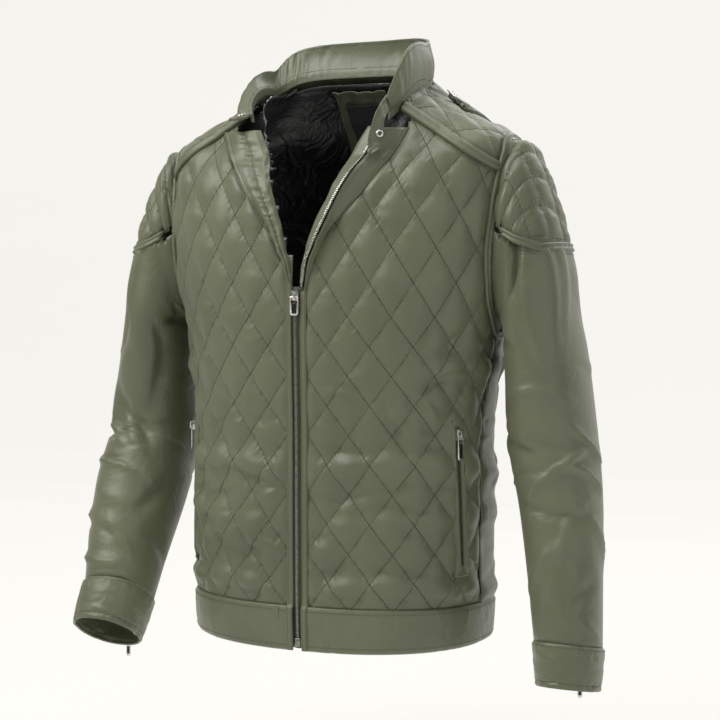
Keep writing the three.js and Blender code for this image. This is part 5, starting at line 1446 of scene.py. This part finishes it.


# Sliders and their pulls: cast bodies with a bridge, and a pull that hangs on each bridge, on a body of its own.
def softened(name, node, body, material, width=0.35):
    """The node's own form with its edges rounded as a casting's are."""
    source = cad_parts[node]
    source = bpy.data.objects[source] if isinstance(source, str) else source
    bm = bmesh.new()
    bm.from_mesh(source.data)
    bmesh.ops.remove_doubles(bm, verts=bm.verts, dist=1e-6)
    bmesh.ops.dissolve_limit(bm, angle_limit=math.radians(2), verts=bm.verts, edges=bm.edges)
    sharp = [edge for edge in bm.edges if len(edge.link_faces) == 2 and edge.calc_face_angle(0) > math.radians(40)]
    bmesh.ops.bevel(bm, geom=sharp, offset=width * 0.001, segments=2, affect="EDGES", profile=0.5, material=-1,
                    clamp_overlap=True)
    for face in bm.faces:
        face.smooth = True
    mesh = bpy.data.meshes.new(name)
    bm.to_mesh(mesh)
    bm.free()
    piece = bpy.data.objects.new(name, mesh)
    bpy.context.scene.collection.objects.link(piece)
    piece.data.materials.append(material)
    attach(piece, body)
    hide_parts(node)
    return piece


def inset_plate(name, pull, body, out, share=(0.34, 0.9), narrow=0.56, proud=0.25):
    """A dark enamel inset in a pull's face, given by shares of the pull's length from its top."""
    low, high = (np.array(corner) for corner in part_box(pull))
    across, up, out = facing_frame(out)
    centre, span = (low + high) / 2, high - low
    long = span[2]
    wide = max(0.004, np.abs(across) @ span * narrow)
    bm = bmesh.new()
    bmesh.ops.create_cube(bm, size=1)
    tall = long * (share[1] - share[0])
    bmesh.ops.scale(bm, verts=bm.verts, vec=Vector((wide, tall, 0.0016)))
    bmesh.ops.bevel(bm, geom=bm.edges[:], offset=0.0005, segments=2, affect="EDGES", profile=0.5, material=-1)
    place = centre + np.array((0, 0, 1)) * (long / 2 - long * (share[0] + share[1]) / 2) + out * proud * 0.001
    turn = Matrix((across, up, out)).transposed().to_4x4()
    bmesh.ops.transform(bm, verts=bm.verts, matrix=Matrix.Translation(place) @ turn)
    mesh = bpy.data.meshes.new(name)
    bm.to_mesh(mesh)
    bm.free()
    piece = bpy.data.objects.new(name, mesh)
    bpy.context.scene.collection.objects.link(piece)
    piece.data.materials.append(black_nickel)
    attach(piece, body)
    return piece


softened("slider_front", "front_slider", "jacket", nickel, 0.6)
softened("pull_front", "front_slider_tab", "front_tab", nickel)
inset_plate("pull_front_inset", "front_slider_tab", "front_tab", (0, -1, 0), proud=0.3)
softened("stop_box", "bottom_stop", "jacket", tooth_metal, 0.9)
pocket_out = np.array((0.8755, -0.4833, 0))
for turned, side in ((1, "left"), (-1, "right")):
    softened(f"slider_pocket_{side}", f"pocket_slider_{side}", "jacket", nickel, 0.5)
    softened(f"pull_pocket_{side}", f"pocket_slider_{side}_tab", f"pocket_tab_{side}", nickel)
    inset_plate(f"pull_pocket_inset_{side}", f"pocket_slider_{side}_tab", f"pocket_tab_{side}",
                pocket_out * (turned, 1, 1), narrow=0.5, proud=0.3)
    softened(f"slider_cuff_{side}", f"cuff_slider_{side}", "jacket", nickel, 0.4)
    softened(f"pull_cuff_{side}", f"cuff_slider_{side}_tab", f"cuff_tab_{side}", nickel)
    inset_plate(f"pull_cuff_inset_{side}", f"cuff_slider_{side}_tab", f"cuff_tab_{side}", (0, 1, 0),
                share=(0.4, 0.86), narrow=0.6, proud=0.0)


# Side pockets: a stitched welt round each opening with two soft lips, and a fine dark zip between them.
def pocket_form(turned):
    def form(flat):
        y = pocket_middle(flat[:, 1]) + flat[:, 0] * turned
        return np.stack([turned * side_reach(y, flat[:, 1]), y, flat[:, 1]], -1)

    return form


def pocket_rise(flat):
    w, z = np.abs(flat[:, 0]), flat[:, 1]
    ends = np.clip(np.minimum(pocket_top + 1 - z, z - pocket_foot + 1) / 7, 0, 1)
    lip = 3.0 * np.sqrt(np.clip(1 - ((w - 5.0) / 2.6) ** 2, 0, 1)) * ends
    wave = 0.35 * unevenness(flat[:, 0] * 0.5, z, 12, 171)
    return 3.0 + lip + wave - 1.6 * np.clip((w - 8) / 2, 0, 1) + 1.2 * (1 - ends)


for turned, side in ((1, "left"), (-1, "right")):
    form = pocket_form(turned)
    welt = cut_cloth(f"pocket_welt_{side}", (-10.5, pocket_foot - 7), (10.5, pocket_top + 6), (0.9, 2.2), form,
                     pocket_rise, thick=1.4)
    sewn(welt, trim_nylon, "plain_cloth", f"pocket_welt_{side}", rests_on=[f"front_{side}"])
    corners = [(-9.2, pocket_top + 4), (9.2, pocket_top + 4), (9.2, pocket_foot - 5), (-9.2, pocket_foot - 5), (-9.2, pocket_top + 4)]
    corners = np.array(corners, float)
    border = np.concatenate([corners[k] + (corners[k + 1] - corners[k]) * np.linspace(0, 1, 60)[:, None] for k in range(4)])
    thread(f"pocket_thread_{side}", [stitches(form, border, rise=lambda f: pocket_rise(f) + 0.1, pitch=3.0, long=2.2)])
    z = np.linspace(pocket_foot + 6, pocket_top - 16, 60)
    chain = form(np.stack([np.zeros(60), z], -1)) + np.array((turned * 0.8755, -0.4833, 0)) * 4.6
    teeth(f"pocket_teeth_{side}", chain, np.tile((turned * 0.8755, -0.4833, 0), (60, 1)), 0, f"pocket_chain_{side}",
          dark_tooth, size=(2.6, 1.2, 1.5), pitch=1.5)


# Cuff zips: a short dark tape with fine teeth at the back of each cuff, under its slider.
for turned, side in ((1, "left"), (-1, "right")):
    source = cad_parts[f"cuff_zip_{side}"]
    source = bpy.data.objects[source] if isinstance(source, str) else source
    source.data.materials.clear()
    source.data.materials.append(tape_material)
    low, high = (np.array(corner) * 1000 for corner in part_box(f"cuff_zip_{side}"))
    tilt = math.radians(cuff_rings[side][2][-1])
    along = np.array((0, math.sin(tilt), math.cos(tilt)))
    out = np.array((0, math.cos(tilt), -math.sin(tilt)))
    centre = (low + high) / 2
    half = (high[2] - low[2]) / 2 / math.cos(tilt) - 1.5
    path = centre + along * np.linspace(-half, half, 24)[:, None] + out * 1.0
    zips = teeth(f"cuff_teeth_{side}", path, np.tile(out, (24, 1)), 0, f"cuff_zip_{side}", dark_tooth,
                 size=(2.6, 1.2, 1.5), pitch=1.5)


# Lining: black satin, loose and rippled, that hangs inside the shell from the neck to the hem band.
lining_material, shade, shader = new_material(
    "black_satin", Coat_Weight=0.25, Coat_Roughness=0.3, Sheen_Weight=0.05)
place = shade.make("ShaderNodeTexCoord", out="Object")
ripples = shade.make("ShaderNodeTexNoise", None, {"Vector": place, "Scale": 26.0, "Detail": 4.0, "Distortion": 1.2})
fine = shade.make("ShaderNodeTexNoise", None, {"Vector": place, "Scale": 900.0})
tone = shade.make("ShaderNodeValToRGB", {"stops": [
    (0.35, (0.006, 0.006, 0.0065, 1)), (0.7, (0.014, 0.014, 0.0155, 1))]}, {0: ripples})
bump = shade.make("ShaderNodeBump", None, {
    "Strength": 0.9, "Distance": 0.003, "Height": 1 - shade.math("ABSOLUTE", ripples * 2 - 1) + fine * 0.02})
wire(shade, shader, Base_Color=tone, Roughness=ripples * 0.2 + 0.2, Normal=bump)

lining_back, lining_degree = 9.5, 2.4
lining_drop = lambda place: 11 * np.clip((place - ring_places[9]) / (ring_places[12] - ring_places[9]), 0, 1)


def lining_point(place, turn, inset):
    points, ring = on_body(place, turn), ring_at(place)
    deep = np.where(points[..., 1] < 0, ring[..., 4], ring[..., 5])
    return np.stack([
        points[..., 0] * (1 - inset / ring[..., 3]), points[..., 1] * (1 - inset / deep),
        points[..., 2] - lining_drop(place) * inset / lining_back], -1)


def lining_form(flat):
    """Places are round from the wearer's left side, and up from the hem."""
    inset = np.interp(flat[:, 1], (ring_places[2], ring_places[2] + 40), (4.2, lining_back + 0.6))
    return lining_point(flat[:, 1], np.radians(flat[:, 0] / lining_degree), inset)


def lining_inside(flat, base):
    x, z = np.abs(base[:, 0]), base[:, 2]
    open_front = (base[:, 1] < 0) & (z > -236) & (x < opening_at(z)[..., 2] + 2)
    shoulder = x < np.interp(z, (-116, -100, -56, 40), (300, 168, 150, 105))
    return ~open_front & shoulder & (past_armhole(base) > -3) & (under_neck(base) > 0.5)


lining_folds = many_creases(181, 60, (90, 380), (800, 760), (50, 130), (50, 120), (6, 12), (0.8, 2.0))
lining_rise = lambda f: -0.4 + 0.5 * np.clip(creases(lining_folds, f[:, 0], f[:, 1]), -4, 1.2)
lining = cut_cloth("lining", (0, ring_places[2] + 4), (360 * lining_degree, ring_places[neck_ring] + 18), (6.0, 6.0),
                   lining_form, lining_rise, inside=lining_inside, loop=True, thick=0.8)
sewn(lining, lining_material, "lining", "lining", held="hung")


# Neck facing: a shield of the shell cloth behind the neck, with a bare woven label and a small size tab on it.
def back_patch(inset):
    """Places are across and up on the inside of the back, at a depth inside the shell."""
    def form(flat):
        z = flat[:, 1]
        place = narrowed(lambda p: ring_at(p)[..., 2] - lining_drop(p) * inset / lining_back > z, z.shape)
        ring = ring_at(place)
        x = flat[:, 0] / (ring[:, 3] - inset)
        turn = np.arccos(np.sign(x) * np.abs(x) ** (ring[:, 6] / 2))
        return lining_point(place, turn, inset)

    return form


facing_reach = lambda z: np.interp(z, (-88, -70, 6), (3, 37, 36.5))


def facing_rise(flat):
    top = np.clip((flat[:, 1] + 26) / 26, 0, 1)
    edge = pinched(facing_reach(flat[:, 1]) - np.abs(flat[:, 0]), 5)
    return 1.0 + edge * (0.8 + 1.6 * top * unevenness(flat[:, 0], flat[:, 1] * 0.16, 6.5, 191)
                         + 0.7 * unevenness(flat[:, 0], flat[:, 1], 8, 192))


neck_form = back_patch(lining_back + 3.1)
facing = cut_cloth("neck_facing", (-38, -89), (38, 6), (1.1, 1.1), neck_form, facing_rise, thick=1.0,
                   inside=lambda flat, base: np.abs(flat[:, 0]) < facing_reach(flat[:, 1]))
sewn(facing, trim_nylon, "plain_cloth", "neck_facing", held="hung", rests_on=["lining"])
border = np.array([(-33, 3), (-33.5, -68), (0, -84), (33.5, -68), (33, 3)], float)
line = np.concatenate([border[k] + (border[k + 1] - border[k]) * np.linspace(0, 1, 40)[:, None] for k in range(4)])
thread("facing_thread", [stitches(neck_form, line, rise=lambda f: facing_rise(f) + 0.1, pitch=3.0, long=2.2)])

label_material, shade, shader = new_material("woven_label", Sheen_Weight=0.2)
place = shade.make("ShaderNodeTexCoord", out="Object")
warp = shade.make("ShaderNodeTexWave", {"bands_direction": "X"}, {"Vector": place, "Scale": 700.0, "Distortion": 0.4})
weft = shade.make("ShaderNodeTexWave", {"bands_direction": "Z"}, {"Vector": place, "Scale": 700.0, "Distortion": 0.4})
tone = shade.make("ShaderNodeValToRGB", {"stops": [
    (0.2, (0.007, 0.008, 0.011, 1)), (0.8, (0.018, 0.02, 0.026, 1))]}, {0: warp * 0.5 + weft * 0.5})
bump = shade.make("ShaderNodeBump", None, {"Strength": 0.5, "Distance": 0.0002, "Height": warp + weft})
wire(shade, shader, Base_Color=tone, Roughness=warp * 0.1 + 0.5, Normal=bump)
for name, low, high, inset in (("label", (-25, -58), (25, -10), lining_back + 5.9), ("size_tab", (-1, -71), (9, -58), lining_back + 5.0)):
    patch = cut_cloth(name, low, high, (1.0, 1.0), back_patch(inset), lambda f: 0.8 + 0.3 * unevenness(f[:, 0], f[:, 1], 14, 195),
                      thick=0.7)
    sewn(patch, label_material, "label", name, held="hung", rests_on=["neck_facing"])
border = np.array([(-23.6, -11.4), (23.6, -11.4), (23.6, -56.6), (-23.6, -56.6), (-23.6, -11.4)])
line = np.concatenate([border[k] + (border[k + 1] - border[k]) * np.linspace(0, 1, 40)[:, None] for k in range(4)])
thread("label_thread", [stitches(back_patch(lining_back + 5.9), line, rise=1.1, pitch=2.4, long=1.6, wide=0.5)],
       material=label_material)


# Thread loop beside the zip on the hem band: a narrow folded tab, barred at both ends.
low, high = (np.array(corner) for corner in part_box("hem_loop"))
centre = (low + high) / 2
bm = bmesh.new()
bmesh.ops.create_grid(bm, x_segments=8, y_segments=12, size=0.5)
for vert in bm.verts:
    bulge = 0.9 * math.cos(math.pi * vert.co.y) * (1 - 0.4 * abs(vert.co.x))
    vert.co = Vector(centre) + 0.001 * Vector((vert.co.x * 7.6, -bulge + 0.3, vert.co.y * 14.5))
bmesh.ops.solidify(bm, geom=bm.faces[:], thickness=0.0011)
bmesh.ops.recalc_face_normals(bm, faces=bm.faces)
for face in bm.faces:
    face.smooth = True
mesh = bpy.data.meshes.new("hem_loop")
bm.to_mesh(mesh)
bm.free()
loop = bpy.data.objects.new("hem_loop_cloth", mesh)
bpy.context.scene.collection.objects.link(loop)
loop["cut_area"], loop["cut_size"] = 0.0076 * 0.0152, (0.0105, 0.0152)
sewn(rounded(loop, 0.3), trim_nylon, "plain_cloth", "hem_loop", held="folded", rests_on=["hem_band"])
